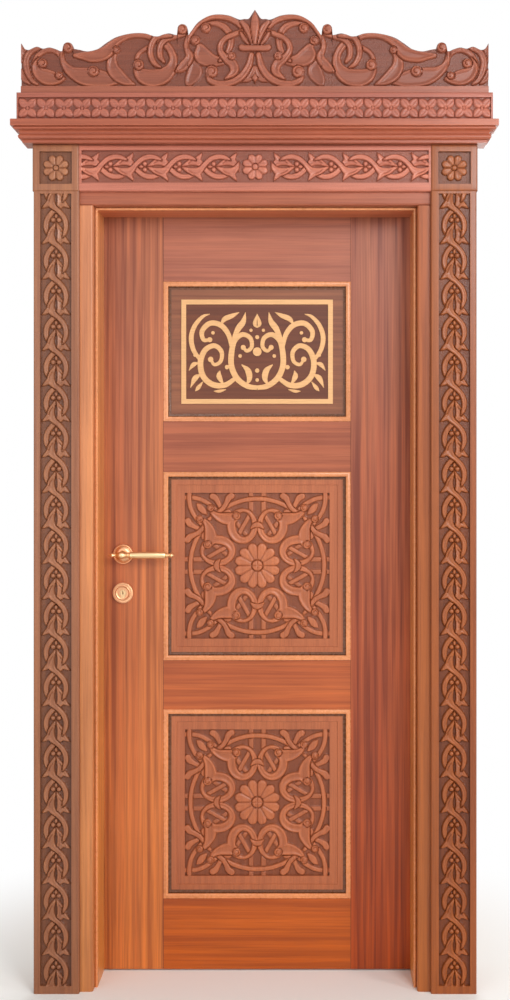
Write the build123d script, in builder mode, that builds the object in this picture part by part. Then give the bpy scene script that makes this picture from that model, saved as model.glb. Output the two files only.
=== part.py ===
from build123d import *
import os
from math import cos, radians, sin

os.makedirs("parts", exist_ok=True)

# Flats of the round pieces
rose_sides = 26
round_sides = 16
bore_sides = 8
finial_sides = 10
grip_sides = 20

# Doorway
clear_width = 826.0
clear_height = 2032.0
wall_front = -57.0
jamb_depth = 155.0
jamb_thickness = 41.5
rebate_depth = 15.0
bead_radius = 4.0

# Leaf
leaf_thickness = 44.0
leaf_gap = 3.0
leaf_set_back = 1.0
seal_gap = 0.5
floor_gap = 4.0
stile_width = 172.0
rail_bottom_width = 190.0
rail_lock_bottom = 705.0
rail_lock_width = 132.0
rail_frieze_bottom = 1346.0
rail_frieze_width = 136.0
rail_top_width = 184.0
tenon_length = 60.0
tenon_thickness = 14.0
groove_depth = 10.0

# Leaf panels
panel_thickness = 24.0
panel_set_back = 10.0
panel_play = 0.5
moulding_width = 21.0
moulding_proud = 2.0
moulding_bevel = 7.0
panel_border = 36.0
panel_border_flat = 14.0
panel_step_depth = 2.0
panel_relief = 7.0
panel_rosette_radius = 62.0
panel_petals = 12
panel_valley = 0.75
ring_sides = 8
ring_outer = 45.0
ring_inner = 32.0
ring_near = 39.0
ring_far = 104.0
bow_middle = 182.0
bow_end = 150.0
bow_flat = 70.0
bow_width = 10.0
inlay_margin = 27.0
inlay_strip = 13.0
inlay_thickness = 3.0
inlay_gap = 16.0
inlay_ring_x = 83.0
inlay_ring_outer = 49.0
inlay_ring_inner = 37.0
inlay_leaf_tip = 92.0
inlay_leaf_half = 15.0
inlay_end_tip = 176.0

# Front surround
casing_reveal = 7.5
casing_width = 34.0
casing_thickness = 31.0
casing_round = 4.0
pilaster_width = 118.0
pilaster_thickness = 45.0
pilaster_outer_border = 17.0
pilaster_inner_border = 20.0
pilaster_ledge = 20.0
vine_depth = 8.0
vine_pitch = 92.0
block_width = 120.0
block_proud = 4.0
block_border = 18.0
block_rosette_radius = 33.0
block_petals = 8
frieze_height = 120.0
frieze_top_border = 14.0
frieze_bottom_border = 22.0
frieze_round = 8.0
frieze_pitch = 89.0
frieze_repeats = 4
frieze_rosette_radius = 35.0
frieze_petals = 8
frieze_rosette_gap = 10.0
rosette_valley = 0.55

# Crown
cornice_height = 55.5
cornice_foot = 22.0
cornice_lip = 48.0
cornice_lip_height = 17.0
cornice_fillet = 8.0
cornice_quirk = 4.0
cove_sag = 3.0
cove_middle = 22.0
cove_top = 31.0
core_front = 10.0
band_height = 71.0
band_front = 35.0
band_thickness = 25.0
band_top_border = 13.0
band_bottom_border = 3.0
band_relief = 5.0
flower_pitch = 46.5
flower_count = 26
flower_radius = 27.0
flower_valley = 0.33
flower_petals = 4
crest_thickness = 30.0
crest_front = 24.0
crest_set_in = 9.5
crest_relief = 6.0
boss_sides = 8

# Rear architraves
rear_width = 70.0
rear_thickness = 18.0
rear_reveal = 8.0
rear_round = 5.0

# Hinges
hinge_height = 100.0
hinge_plate = 2.5
hinge_slack = 0.4
hinge_width = 36.0
knuckle_radius = 5.5
knuckle_gap = 0.3
pin_radius = 3.5
pin_play = 0.05
pin_offset = 5.0
hinge_heights = {"bottom": 240.0, "middle": 1020.0, "top": 1800.0}

# Lock
lock_backset = 64.0
spindle_height = 1124.0
lock_centres = 104.0
spindle_side = 8.0
spindle_play = 0.05
case_depth = 92.0
case_thickness = 18.0
case_wall = 1.5
case_below_key = 45.0
case_above_spindle = 41.0
faceplate_width = 24.0
faceplate_thickness = 3.0
faceplate_margin = 22.0
bolt_thickness = 14.0
bolt_play = 0.3
latch_height = 18.0
latch_travel = 12.0
latch_rise = 17.0
latch_nose = 4.0
latch_tail_clear = 2.0
latch_hook = 6.0
latch_lift = 2.0
latch_bridge = 4.0
arm_lead = 1.5
arm_trail = 4.0
arm_over = 1.0
arm_thickness = 8.0
dead_height = 20.0
dead_rise = 38.0
dead_travel = 20.0
dead_length = 50.0
hub_radius = 9.0
hub_play = 0.1
bore_room = 1.0
arm_width = 6.0
arm_length = 19.0
plug_radius = 6.5
plug_play = 0.05
barrel_radius = 8.5
barrel_tail = 24.5
barrel_tail_width = 10.0
cam_radius = 12.5
cam_thickness = 8.0
cam_gap = 1.0
keyway_width = 2.5
keyway_height = 8.0
keyway_depth = 20.0
strike_thickness = 2.0
strike_lip = 2.0

# Handle
rose_radius = 27.5
rose_thickness = 9.0
neck_radius = 8.5
neck_play = 0.1
handle_reach = 43.5
grip_radius = 9.5
grip_length = 117.0
finial_radius = 7.0
finial_length = 25.0
finial_slope = 11.5
finial_waist = 5.0
finial_tip = 2.0
socket_depth = 22.0
key_play = 0.3

# Places worked out from the sizes above
half_clear = clear_width / 2
jamb_back = wall_front + jamb_depth
rebate_x = half_clear + rebate_depth
rebate_z = clear_height + rebate_depth
jamb_outer = half_clear + jamb_thickness
head_top = clear_height + jamb_thickness
leaf_half = rebate_x - leaf_gap
leaf_top = rebate_z - leaf_gap
leaf_back = jamb_back - leaf_set_back
leaf_front = leaf_back - leaf_thickness
leaf_middle = (leaf_front + leaf_back) / 2
stop_back = leaf_front - seal_gap
panel_front = leaf_front + panel_set_back
casing_inner = half_clear + casing_reveal
pilaster_inner = casing_inner + casing_width
pilaster_outer = pilaster_inner + pilaster_width
pilaster_front = wall_front - pilaster_thickness
frieze_bottom = clear_height + casing_reveal + casing_width
frieze_top = frieze_bottom + frieze_height
block_outer = pilaster_inner + block_width
cornice_top = frieze_top + cornice_height
band_top = cornice_top + band_height
core_half = block_outer + core_front
band_half = block_outer + band_front
crest_half_width = band_half - crest_set_in
core_y = pilaster_front - core_front
inner_half = leaf_half - stile_width
spindle_x = -leaf_half + lock_backset
pin_x = (leaf_half + rebate_x) / 2
pin_y = jamb_back + pin_offset
case_front = leaf_middle - case_thickness / 2
case_back = leaf_middle + case_thickness / 2
key_height = spindle_height - lock_centres
case_bottom = key_height - case_below_key
case_top = spindle_height + case_above_spindle
latch_z = spindle_height + latch_rise
dead_z = key_height + dead_rise
sides = {"left": -1, "right": 1}


def block(x_range, y_range, z_range):
    """A box between two values on each axis, inside the part being built."""
    spans = (x_range, y_range, z_range)
    centre = [(low + high) / 2 for low, high in spans]
    with Locations(tuple(centre)):
        Box(*(high - low for low, high in spans))


def cut_block(x_range, y_range, z_range):
    """The same box, taken out of the part being built."""
    spans = (x_range, y_range, z_range)
    centre = [(low + high) / 2 for low, high in spans]
    with Locations(tuple(centre)):
        Box(*(high - low for low, high in spans), mode=Mode.SUBTRACT)


def euro_profile(plane, play=0.0):
    """The keyhole outline of a cylinder lock, about the plug's centre."""
    tail = barrel_tail_width / 2 + play
    with BuildSketch(plane) as profile:
        RegularPolygon(barrel_radius + play, round_sides)
        with Locations((0, -barrel_tail / 2)):
            Rectangle(2 * tail, barrel_tail + 2 * play)
    return profile.sketch


# Carved motifs, drawn once as flat shapes about their own centres

def side_points(points, side):
    """Points given for one side of an axis, laid out on either side of it."""
    return [(side * across, along) for across, along in points]


def both_sides(points):
    """An outline given from top to bottom on one side, closed by its mirror image."""
    return side_points(points, 1) + side_points(points[::-1], -1)


def petal_points(radius, petals, valley):
    """The corners of a rosette in turn: a petal's tip, then the valley beside it."""
    half_step = radians(180 / petals)
    points = []
    for petal in range(petals):
        tip = (2 * petal + 1) * half_step
        between = (2 * petal + 2) * half_step
        points.append((radius * cos(tip), radius * sin(tip)))
        points.append((radius * valley * cos(between), radius * valley * sin(between)))
    return points


strand_outline = [(2.0, 0.0), (28.0, 27.0), (20.0, 68.0), (33.0, 92.0)]
oval_outline = [(0.0, 8.0), (17.0, 40.0), (-17.0, 40.0)]

with BuildSketch() as vine:
    with BuildLine():
        Polyline(*both_sides(strand_outline), close=True)
    make_face()
    with BuildLine():
        Polyline(*oval_outline, close=True)
    make_face(mode=Mode.SUBTRACT)


def rosette(radius, petals, valley):
    """Pointed petals about a centre, as one flat shape."""
    with BuildSketch() as flower:
        with BuildLine():
            Polyline(*petal_points(radius, petals, valley), close=True)
        make_face()
    return flower.sketch


block_rosette = rosette(block_rosette_radius, block_petals, rosette_valley)
frieze_rosette = rosette(frieze_rosette_radius, frieze_petals, rosette_valley)
panel_rosette = rosette(panel_rosette_radius, panel_petals, panel_valley)
band_flower = rosette(flower_radius, flower_petals, flower_valley)

# Jambs, rebated for the leaf

for name, side in sides.items():
    with BuildPart() as jamb:
        with BuildSketch() as section:
            with BuildLine():
                Polyline(
                    (side * half_clear, wall_front),
                    (side * half_clear, stop_back),
                    (side * rebate_x, stop_back),
                    (side * rebate_x, jamb_back),
                    (side * jamb_outer, jamb_back),
                    (side * jamb_outer, wall_front),
                    close=True,
                )
            make_face()
            corner = section.vertices().group_by(Axis.Y)[0].sort_by(Axis.X)[0 if side > 0 else -1]
            chamfer(corner, bead_radius)
        extrude(amount=clear_height)
        if side < 0:
            cut_block(
                (-rebate_x - dead_travel - strike_lip, -rebate_x),
                (leaf_middle - bolt_thickness / 2 - bolt_play, leaf_middle + bolt_thickness / 2 + bolt_play),
                (dead_z - dead_height / 2 - bolt_play, dead_z + dead_height / 2 + bolt_play),
            )
            cut_block(
                (-rebate_x - latch_travel, -rebate_x),
                (leaf_middle - bolt_thickness / 2 - bolt_play, leaf_middle + bolt_thickness / 2 + bolt_play),
                (latch_z - latch_height / 2 - bolt_play, latch_z + latch_height / 2 + bolt_play),
            )
            cut_block(
                (-rebate_x - strike_thickness, -rebate_x),
                (leaf_middle - faceplate_width / 2, leaf_middle + faceplate_width / 2),
                (dead_z - dead_height, latch_z + latch_height),
            )
        else:
            for height in hinge_heights.values():
                cut_block(
                    (rebate_x, pin_x + hinge_slack / 2 + hinge_plate),
                    (jamb_back - hinge_width, jamb_back),
                    (height - hinge_height / 2, height + hinge_height / 2),
                )
    jamb.part.label = f"jamb_{name}"
    export_step(jamb.part, f"parts/jamb_{name}.step")

with BuildPart() as head_jamb:
    with BuildSketch(Plane.YZ.offset(-jamb_outer)) as section:
        with BuildLine():
            Polyline(
                (wall_front, clear_height),
                (stop_back, clear_height),
                (stop_back, rebate_z),
                (jamb_back, rebate_z),
                (jamb_back, head_top),
                (wall_front, head_top),
                close=True,
            )
        make_face()
        chamfer(section.vertices().sort_by(Axis.Z).group_by(Axis.Z)[0].sort_by(Axis.Y)[0], bead_radius)
    extrude(amount=2 * jamb_outer)
    for side in sides.values():
        ends = sorted((side * rebate_x, side * jamb_outer))
        block(ends, (stop_back, jamb_back), (clear_height, rebate_z))
head_jamb.part.label = "head_jamb"
export_step(head_jamb.part, "parts/head_jamb.step")


# Casing, pilasters, corner blocks and frieze

for name, side in sides.items():
    with BuildPart() as casing:
        with BuildSketch() as section:
            with Locations((side * (casing_inner + casing_width / 2), wall_front - casing_thickness / 2)):
                Rectangle(casing_width, casing_thickness)
            corner = section.vertices().group_by(Axis.Y)[0].sort_by(Axis.X)[0 if side > 0 else -1]
            chamfer(corner, casing_round)
        extrude(amount=frieze_bottom)
        split(bisect_by=Plane((side * casing_inner, 0, clear_height + casing_reveal), z_dir=(side, 0, -1)))
    casing.part.label = f"casing_{name}"
    export_step(casing.part, f"parts/casing_{name}.step")

with BuildPart() as casing_head:
    with BuildSketch(Plane.YZ.offset(-pilaster_inner)) as section:
        with Locations((wall_front - casing_thickness / 2, frieze_bottom - casing_width / 2)):
            Rectangle(casing_thickness, casing_width)
        corner = section.vertices().group_by(Axis.Z)[0].sort_by(Axis.Y)[0]
        chamfer(corner, casing_round)
    extrude(amount=2 * pilaster_inner)
    for side in sides.values():
        split(bisect_by=Plane((side * casing_inner, 0, clear_height + casing_reveal), z_dir=(-side, 0, 1)))
casing_head.part.label = "casing_head"
export_step(casing_head.part, "parts/casing_head.step")

for name, side in sides.items():
    ground_near = pilaster_inner + pilaster_inner_border
    ground_far = pilaster_outer - pilaster_outer_border
    vine_x = side * (ground_near + ground_far) / 2
    ground_height = frieze_bottom - pilaster_ledge
    with BuildPart() as pilaster:
        across = sorted((side * pilaster_inner, side * pilaster_outer))
        block(across, (pilaster_front, wall_front), (0, frieze_bottom))
        with BuildSketch(Plane.XZ.offset(-pilaster_front)) as ground:
            with Locations((vine_x, pilaster_ledge + ground_height / 2)):
                Rectangle(ground_far - ground_near, ground_height)
            repeats = int(frieze_bottom / vine_pitch) + 1
            first = frieze_bottom + vine_pitch / 2
            tops = [first - step * vine_pitch for step in range(repeats + 1)]
            with Locations(*[Location((vine_x, top, 0), (0, 0, 180)) for top in tops]):
                add(vine.sketch, mode=Mode.SUBTRACT)
        extrude(amount=-vine_depth, mode=Mode.SUBTRACT)
    pilaster.part.label = f"pilaster_{name}"
    export_step(pilaster.part, f"parts/pilaster_{name}.step")

    block_middle = (side * (pilaster_inner + block_width / 2), frieze_bottom + frieze_height / 2)
    with BuildPart() as corner_block:
        across = sorted((side * pilaster_inner, side * block_outer))
        block(across, (pilaster_front - block_proud, wall_front), (frieze_bottom, frieze_top))
        with BuildSketch(Plane.XZ.offset(block_proud - pilaster_front)):
            with Locations(block_middle):
                Rectangle(block_width - 2 * block_border, frieze_height - 2 * block_border)
                add(block_rosette, mode=Mode.SUBTRACT)
        extrude(amount=-vine_depth, mode=Mode.SUBTRACT)
    corner_block.part.label = f"corner_block_{name}"
    export_step(corner_block.part, f"parts/corner_block_{name}.step")

frieze_ground = frieze_height - frieze_top_border - frieze_bottom_border
frieze_axis = frieze_bottom + frieze_bottom_border + frieze_ground / 2
with BuildPart() as frieze:
    block((-pilaster_inner, pilaster_inner), (pilaster_front, wall_front), (frieze_bottom, frieze_top))
    lower_edge = frieze.edges().filter_by(Axis.X).group_by(Axis.Y)[0].sort_by(Axis.Z)[0]
    fillet(lower_edge, frieze_round)
    with BuildSketch(Plane.XZ.offset(-pilaster_front)):
        with Locations((0, frieze_axis)):
            Rectangle(2 * pilaster_inner, frieze_ground)
            add(frieze_rosette, mode=Mode.SUBTRACT)
        first = frieze_rosette_radius + frieze_rosette_gap
        starts = [first + step * frieze_pitch for step in range(frieze_repeats + 1)]
        right = [Location((x + frieze_pitch, frieze_axis, 0), (0, 0, 90)) for x in starts]
        left = [Location((-x - frieze_pitch, frieze_axis, 0), (0, 0, -90)) for x in starts]
        with Locations(*right, *left):
            add(vine.sketch, mode=Mode.SUBTRACT)
    extrude(amount=-vine_depth, mode=Mode.SUBTRACT)
frieze.part.label = "frieze"
export_step(frieze.part, "parts/frieze.step")


# Crown: core, cornice, flower band and crest

with BuildPart() as crown_core:
    block((-core_half, core_half), (core_y, wall_front), (frieze_top, band_top))
crown_core.part.label = "crown_core"
export_step(crown_core.part, "parts/crown_core.step")

cove_foot = cornice_foot + cornice_quirk
cove_head = cornice_lip - 2 * cornice_quirk
cornice_steps = [
    (cornice_foot, cornice_fillet),
    (cove_foot, cornice_fillet),
    (cove_foot + cove_sag, cove_middle),
    (cove_head, cove_top),
    (cornice_lip - cornice_quirk, cove_top),
    (cornice_lip - cornice_quirk, cornice_height - cornice_lip_height),
    (cornice_lip, cornice_height - cornice_lip_height),
    (cornice_lip, cornice_height),
]


def cornice_section(plane):
    """The cornice's cross-section, standing out along the plane's first axis."""
    with BuildSketch(plane) as section:
        with BuildLine():
            Polyline((core_front, cornice_height), (core_front, 0), (cornice_foot, 0), *cornice_steps[:2])
            ThreePointArc(*cornice_steps[1:4])
            Polyline(*cornice_steps[3:], (core_front, cornice_height))
        make_face()
    return section.sketch


def corner_mitre(side):
    """The upright plane of a mitre at a front corner of the crown, facing outwards."""
    return Plane((side * block_outer, pilaster_front, 0), z_dir=(side, 1, 0))


lip_half = block_outer + cornice_lip
front_plane = Plane((-lip_half, pilaster_front, frieze_top), x_dir=(0, -1, 0), z_dir=(-1, 0, 0))
front_section = cornice_section(front_plane)
with BuildPart() as cornice_front:
    extrude(front_section, amount=-2 * lip_half)
    split(bisect_by=corner_mitre(-1), keep=Keep.BOTTOM)
    split(bisect_by=corner_mitre(1), keep=Keep.BOTTOM)
cornice_front.part.label = "cornice_front"
export_step(cornice_front.part, "parts/cornice_front.step")

for name, side in sides.items():
    return_foot = (side * block_outer, wall_front, frieze_top)
    return_plane = Plane(return_foot, x_dir=(side, 0, 0), z_dir=(0, -side, 0))
    return_section = cornice_section(return_plane)
    with BuildPart() as cornice_return:
        extrude(return_section, amount=side * (pilaster_thickness + cornice_lip))
        split(bisect_by=corner_mitre(side), keep=Keep.TOP)
    cornice_return.part.label = f"cornice_return_{name}"
    export_step(cornice_return.part, f"parts/cornice_return_{name}.step")

band_ground = band_height - band_top_border - band_bottom_border
with BuildPart() as flower_band:
    band_y = pilaster_front - band_front
    block((-band_half, band_half), (band_y, band_y + band_thickness), (cornice_top, band_top))
    with BuildSketch(Plane.XZ.offset(-band_y)):
        with Locations((0, cornice_top + band_bottom_border + band_ground / 2)):
            Rectangle(flower_pitch * flower_count, band_ground)
            with GridLocations(flower_pitch, band_ground, flower_count, 1):
                add(band_flower, mode=Mode.SUBTRACT)
    extrude(amount=-band_relief, mode=Mode.SUBTRACT)
flower_band.part.label = "flower_band"
export_step(flower_band.part, "parts/flower_band.step")

for name, side in sides.items():
    with BuildPart() as band_end:
        across = sorted((side * core_half, side * band_half))
        block(across, (band_y + band_thickness, wall_front), (cornice_top, band_top))
    band_end.part.label = f"flower_band_end_{name}"
    export_step(band_end.part, f"parts/flower_band_end_{name}.step")

crest_start = [(0.0, 218.0), (16.0, 194.0), (41.0, 192.0)]
crest_lobe = [(41.0, 192.0), (96.0, 206.0), (160.0, 162.0)]
crest_bud = [(160.0, 162.0), (174.0, 178.0), (196.0, 178.0), (202.0, 152.0), (253.0, 148.0)]
crest_hump = [(253.0, 148.0), (302.0, 157.0), (355.0, 147.0)]
crest_hollow = [(355.0, 147.0), (392.0, 119.0), (449.0, 113.0)]
crest_end = [(449.0, 113.0), (466.0, 122.0), (472.0, 133.0), (493.0, 133.0), (504.0, 111.0),
             (582.0, 114.0), (crest_half_width, 132.0)]
crest_bosses = [(117.0, 156.0, 10.0), (108.0, 58.0, 12.0), (280.0, 74.0, 9.0), (412.0, 59.0, 12.0)]
crest_hollows = [(93.0, 132.0, 50.0), (257.0, 90.0, 42.0)]
crest_pockets = [
    [(28.0, 62.0), (48.0, 70.0), (42.0, 104.0), (24.0, 98.0)],
    [(80.0, 42.0), (88.0, 77.0), (130.0, 77.0), (136.0, 44.0)],
    [(186.0, 26.0), (240.0, 26.0), (204.0, 54.0)],
    [(302.0, 130.0), (344.0, 124.0), (350.0, 86.0), (322.0, 102.0)],
    [(384.0, 42.0), (390.0, 80.0), (438.0, 80.0), (442.0, 42.0)],
    [(508.0, 60.0), (512.0, 94.0), (540.0, 104.0), (532.0, 62.0)],
]


def crest_outline(side):
    """The upper edge of half the crest, from the middle tip out to the end, and the foot below it."""
    Polyline(*side_points(crest_start, side))
    ThreePointArc(*side_points(crest_lobe, side))
    Polyline(*side_points(crest_bud, side))
    ThreePointArc(*side_points(crest_hump, side))
    ThreePointArc(*side_points(crest_hollow, side))
    Polyline(*side_points(crest_end, side), (side * crest_half_width, 0), (0, 0), crest_start[0])


crest_face = Plane((0, pilaster_front - crest_front, band_top), x_dir=(1, 0, 0), z_dir=(0, -1, 0))
with BuildSketch(crest_face) as crest_shape:
    for side in sides.values():
        with BuildLine():
            crest_outline(side)
        make_face()

with BuildSketch(crest_face) as crest_ground:
    for side in sides.values():
        for across, height, hollow_radius in crest_hollows:
            with Locations((side * across, height)):
                RegularPolygon(hollow_radius, ring_sides)
        for pocket in crest_pockets:
            with BuildLine():
                Polyline(*side_points(pocket, side), close=True)
            make_face()
    for side in sides.values():
        for across, height, boss_radius in crest_bosses:
            with Locations((side * across, height)):
                RegularPolygon(boss_radius, boss_sides, mode=Mode.SUBTRACT)

with BuildPart() as crest_board:
    extrude(crest_shape.sketch, amount=-crest_thickness)
    extrude(crest_ground.sketch, amount=-crest_relief, mode=Mode.SUBTRACT)
crest_board.part.label = "crest_board"
export_step(crest_board.part, "parts/crest_board.step")

# Rear architraves

rear_inner = rebate_x + rear_reveal
rear_outer = rear_inner + rear_width
rear_low = rebate_z + rear_reveal
rear_high = rear_low + rear_width
for name, side in sides.items():
    with BuildPart() as rear_architrave:
        with BuildSketch() as section:
            with Locations((side * (rear_inner + rear_width / 2), jamb_back + rear_thickness / 2)):
                Rectangle(rear_width, rear_thickness)
            chamfer(section.vertices().group_by(Axis.Y)[-1], rear_round)
        extrude(amount=rear_high)
        split(bisect_by=Plane((side * rear_inner, 0, rear_low), z_dir=(side, 0, -1)))
    rear_architrave.part.label = f"rear_architrave_{name}"
    export_step(rear_architrave.part, f"parts/rear_architrave_{name}.step")

with BuildPart() as rear_head:
    with BuildSketch(Plane.YZ.offset(-rear_outer)) as section:
        with Locations((jamb_back + rear_thickness / 2, rear_low + rear_width / 2)):
            Rectangle(rear_thickness, rear_width)
        chamfer(section.vertices().group_by(Axis.Y)[-1], rear_round)
    extrude(amount=2 * rear_outer)
    for side in sides.values():
        split(bisect_by=Plane((side * rear_inner, 0, rear_low), z_dir=(-side, 0, 1)))
rear_head.part.label = "rear_architrave_head"
export_step(rear_head.part, "parts/rear_architrave_head.step")

# Leaf: stiles and rails, mortised, tenoned and grooved for the panels

rails = {
    "bottom_rail": (floor_gap, floor_gap + rail_bottom_width),
    "lock_rail": (rail_lock_bottom, rail_lock_bottom + rail_lock_width),
    "frieze_rail": (rail_frieze_bottom, rail_frieze_bottom + rail_frieze_width),
    "top_rail": (leaf_top - rail_top_width, leaf_top),
}
panels = {
    "bottom": (rails["bottom_rail"][1], rails["lock_rail"][0]),
    "middle": (rails["lock_rail"][1], rails["frieze_rail"][0]),
    "top": (rails["frieze_rail"][1], rails["top_rail"][0]),
}
leaf_faces = (leaf_front, leaf_back)
tenon_faces = (leaf_middle - tenon_thickness / 2, leaf_middle + tenon_thickness / 2)
groove_faces = (panel_front, panel_front + panel_thickness)


def tenon_heights(low, high):
    """The span of a rail's tenon, held in from the rail's grooved edges."""
    return low + 2 * groove_depth, high - 2 * groove_depth


def bolt_faces(play):
    """The span of a bolt across the leaf's thickness."""
    return leaf_middle - bolt_thickness / 2 - play, leaf_middle + bolt_thickness / 2 + play


def cut_euro(front, back, play):
    """The cylinder's outline cut through from front to back at the key's place."""
    plane = Plane((spindle_x, front, key_height), x_dir=(1, 0, 0), z_dir=(0, -1, 0))
    extrude(euro_profile(plane, play), amount=front - back, mode=Mode.SUBTRACT)


def cut_bore(height, radius, front, back):
    """A bore through from front to back on the lock's upright line, its flats on the given radius."""
    with BuildSketch(Plane((spindle_x, front, height), x_dir=(1, 0, 0), z_dir=(0, -1, 0))) as outline:
        RegularPolygon(radius, bore_sides, major_radius=False)
    extrude(outline.sketch, amount=front - back, mode=Mode.SUBTRACT)


for name, side in {"lock_stile": -1, "hinge_stile": 1}.items():
    with BuildPart() as stile:
        block(sorted((side * inner_half, side * leaf_half)), leaf_faces, (floor_gap, leaf_top))
        for low, high in panels.values():
            depth = sorted((side * inner_half, side * (inner_half + groove_depth)))
            cut_block(depth, groove_faces, (low - groove_depth, high + groove_depth))
        for low, high in rails.values():
            depth = sorted((side * inner_half, side * (inner_half + tenon_length)))
            cut_block(depth, tenon_faces, tenon_heights(low, high))
        if side < 0:
            case_x = (-leaf_half + faceplate_thickness, -leaf_half + faceplate_thickness + case_depth)
            cut_block(case_x, (case_front, case_back), (case_bottom, case_top))
            cut_block(
                (-leaf_half, -leaf_half + faceplate_thickness),
                (leaf_middle - faceplate_width / 2, leaf_middle + faceplate_width / 2),
                (case_bottom - faceplate_margin, case_top + faceplate_margin),
            )
            bores = ((spindle_height, hub_radius, hub_radius), (key_height, barrel_radius, barrel_tail))
            for height, radius, below in bores:
                reach = radius + bore_room
                cut_block(
                    (spindle_x - reach, spindle_x + reach),
                    leaf_faces,
                    (height - below - bore_room, height + reach),
                )
        else:
            for height in hinge_heights.values():
                cut_block(
                    (pin_x - hinge_slack / 2 - hinge_plate, leaf_half),
                    (leaf_back - hinge_width, leaf_back),
                    (height - hinge_height / 2, height + hinge_height / 2),
                )
    stile.part.label = name
    export_step(stile.part, f"parts/{name}.step")

for name, (low, high) in rails.items():
    with BuildPart() as rail:
        block((-inner_half, inner_half), leaf_faces, (low, high))
        tenon_low, tenon_high = tenon_heights(low, high)
        block((-inner_half - tenon_length, inner_half + tenon_length), tenon_faces, (tenon_low, tenon_high))
        if low > floor_gap:
            cut_block((-inner_half, inner_half), groove_faces, (low, low + groove_depth))
        if high < leaf_top:
            cut_block((-inner_half, inner_half), groove_faces, (high - groove_depth, high))
    rail.part.label = name
    export_step(rail.part, f"parts/{name}.step")

# Panels and their mouldings

tongue = groove_depth - panel_play


def bowed_strap():
    """One bowed strap of a square panel, above the panel's centre."""
    with BuildSketch() as strap:
        with BuildLine():
            right_half = [(bow_flat, bow_middle), (bow_middle, bow_end)]
            upper = side_points(right_half[::-1], -1) + right_half
            lower = [(across, along - bow_width) for across, along in reversed(upper)]
            Polyline(*upper, *lower, close=True)
        make_face()
    return strap.sketch


with BuildSketch() as panel_relief_shape:
    for turn in range(4):
        add(bowed_strap().rotate(Axis.Z, 90 * turn))
    for across, along in ((ring_near, ring_far), (ring_far, ring_near)):
        for side_x in sides.values():
            for side_z in sides.values():
                with Locations((side_x * across, side_z * along)):
                    RegularPolygon(ring_outer, ring_sides)
                    RegularPolygon(ring_inner, ring_sides, mode=Mode.SUBTRACT)
    add(panel_rosette)

for name, (low, high) in panels.items():
    width = 2 * inner_half
    height = high - low
    middle = (low + high) / 2
    face = Plane((0, panel_front, middle), x_dir=(1, 0, 0), z_dir=(0, -1, 0))
    with BuildPart() as panel:
        block((-inner_half - tongue, inner_half + tongue), groove_faces, (low - tongue, high + tongue))
        if name != "top":
            flat = 2 * (moulding_width + panel_border_flat)
            with BuildSketch(face):
                Rectangle(width - flat, height - flat)
            extrude(amount=-panel_step_depth, mode=Mode.SUBTRACT)
            border = 2 * (moulding_width + panel_border)
            with BuildSketch(face.offset(-panel_step_depth)):
                Rectangle(width - border, height - border)
                add(panel_relief_shape.sketch, mode=Mode.SUBTRACT)
            extrude(amount=-panel_relief, mode=Mode.SUBTRACT)
    panel.part.label = f"panel_{name}"
    export_step(panel.part, f"parts/panel_{name}.step")

    mouldings = {
        "front_moulding": (leaf_front - moulding_proud, panel_front),
        "rear_moulding": (groove_faces[1], leaf_back),
    }
    for kind, (near, far) in mouldings.items():
        with BuildPart() as moulding:
            with BuildSketch(Plane.XZ.offset(-near)):
                with Locations((0, middle)):
                    Rectangle(width, height)
                    Rectangle(width - 2 * moulding_width, height - 2 * moulding_width, mode=Mode.SUBTRACT)
            extrude(amount=near - far)
            outer_face = -1 if kind == "rear_moulding" else 0
            chamfer(moulding.faces().sort_by(Axis.Y)[outer_face].inner_wires()[0].edges(), moulding_bevel)
        moulding.part.label = f"{kind}_{name}"
        export_step(moulding.part, f"parts/{kind}_{name}.step")

# Pale inlay of the top panel

inlay_low, inlay_high = panels["top"]
inlay_middle = (inlay_low + inlay_high) / 2
inlay_edge = 2 * (moulding_width + inlay_margin)
inlay_face = Plane((0, panel_front, inlay_middle), x_dir=(1, 0, 0), z_dir=(0, -1, 0))
with BuildPart() as inlay_frame:
    with BuildSketch(inlay_face):
        Rectangle(2 * inner_half - inlay_edge, inlay_high - inlay_low - inlay_edge)
        Rectangle(
            2 * inner_half - inlay_edge - 2 * inlay_strip,
            inlay_high - inlay_low - inlay_edge - 2 * inlay_strip,
            mode=Mode.SUBTRACT,
        )
    extrude(amount=inlay_thickness)
inlay_frame.part.label = "inlay_frame"
export_step(inlay_frame.part, "parts/inlay_frame.step")

inlay_crown = (inlay_ring_x - inlay_ring_outer + inlay_leaf_tip) / 2
inlay_leaf = [(0, 0), (inlay_leaf_half, inlay_crown), (0, inlay_leaf_tip), (-inlay_leaf_half, inlay_crown)]
inlay_end_start = inlay_ring_x + inlay_ring_inner
inlay_end_middle = (inlay_end_start + inlay_end_tip) / 2
inlay_end = [
    (inlay_end_start, 0),
    (inlay_end_middle, inlay_leaf_half),
    (inlay_end_tip, 0),
    (inlay_end_middle, -inlay_leaf_half),
]
with BuildSketch() as inlay_pattern:
    for side in sides.values():
        with Locations((side * inlay_ring_x, 0)):
            RegularPolygon(inlay_ring_outer, ring_sides)
            RegularPolygon(inlay_ring_inner, ring_sides, mode=Mode.SUBTRACT)
    for side in sides.values():
        upright_leaf = [(across, side * along) for across, along in inlay_leaf]
        for outline in (upright_leaf, side_points(inlay_end, side)):
            with BuildLine():
                Polyline(*outline, close=True)
            make_face()
    add(frieze_rosette)

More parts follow.
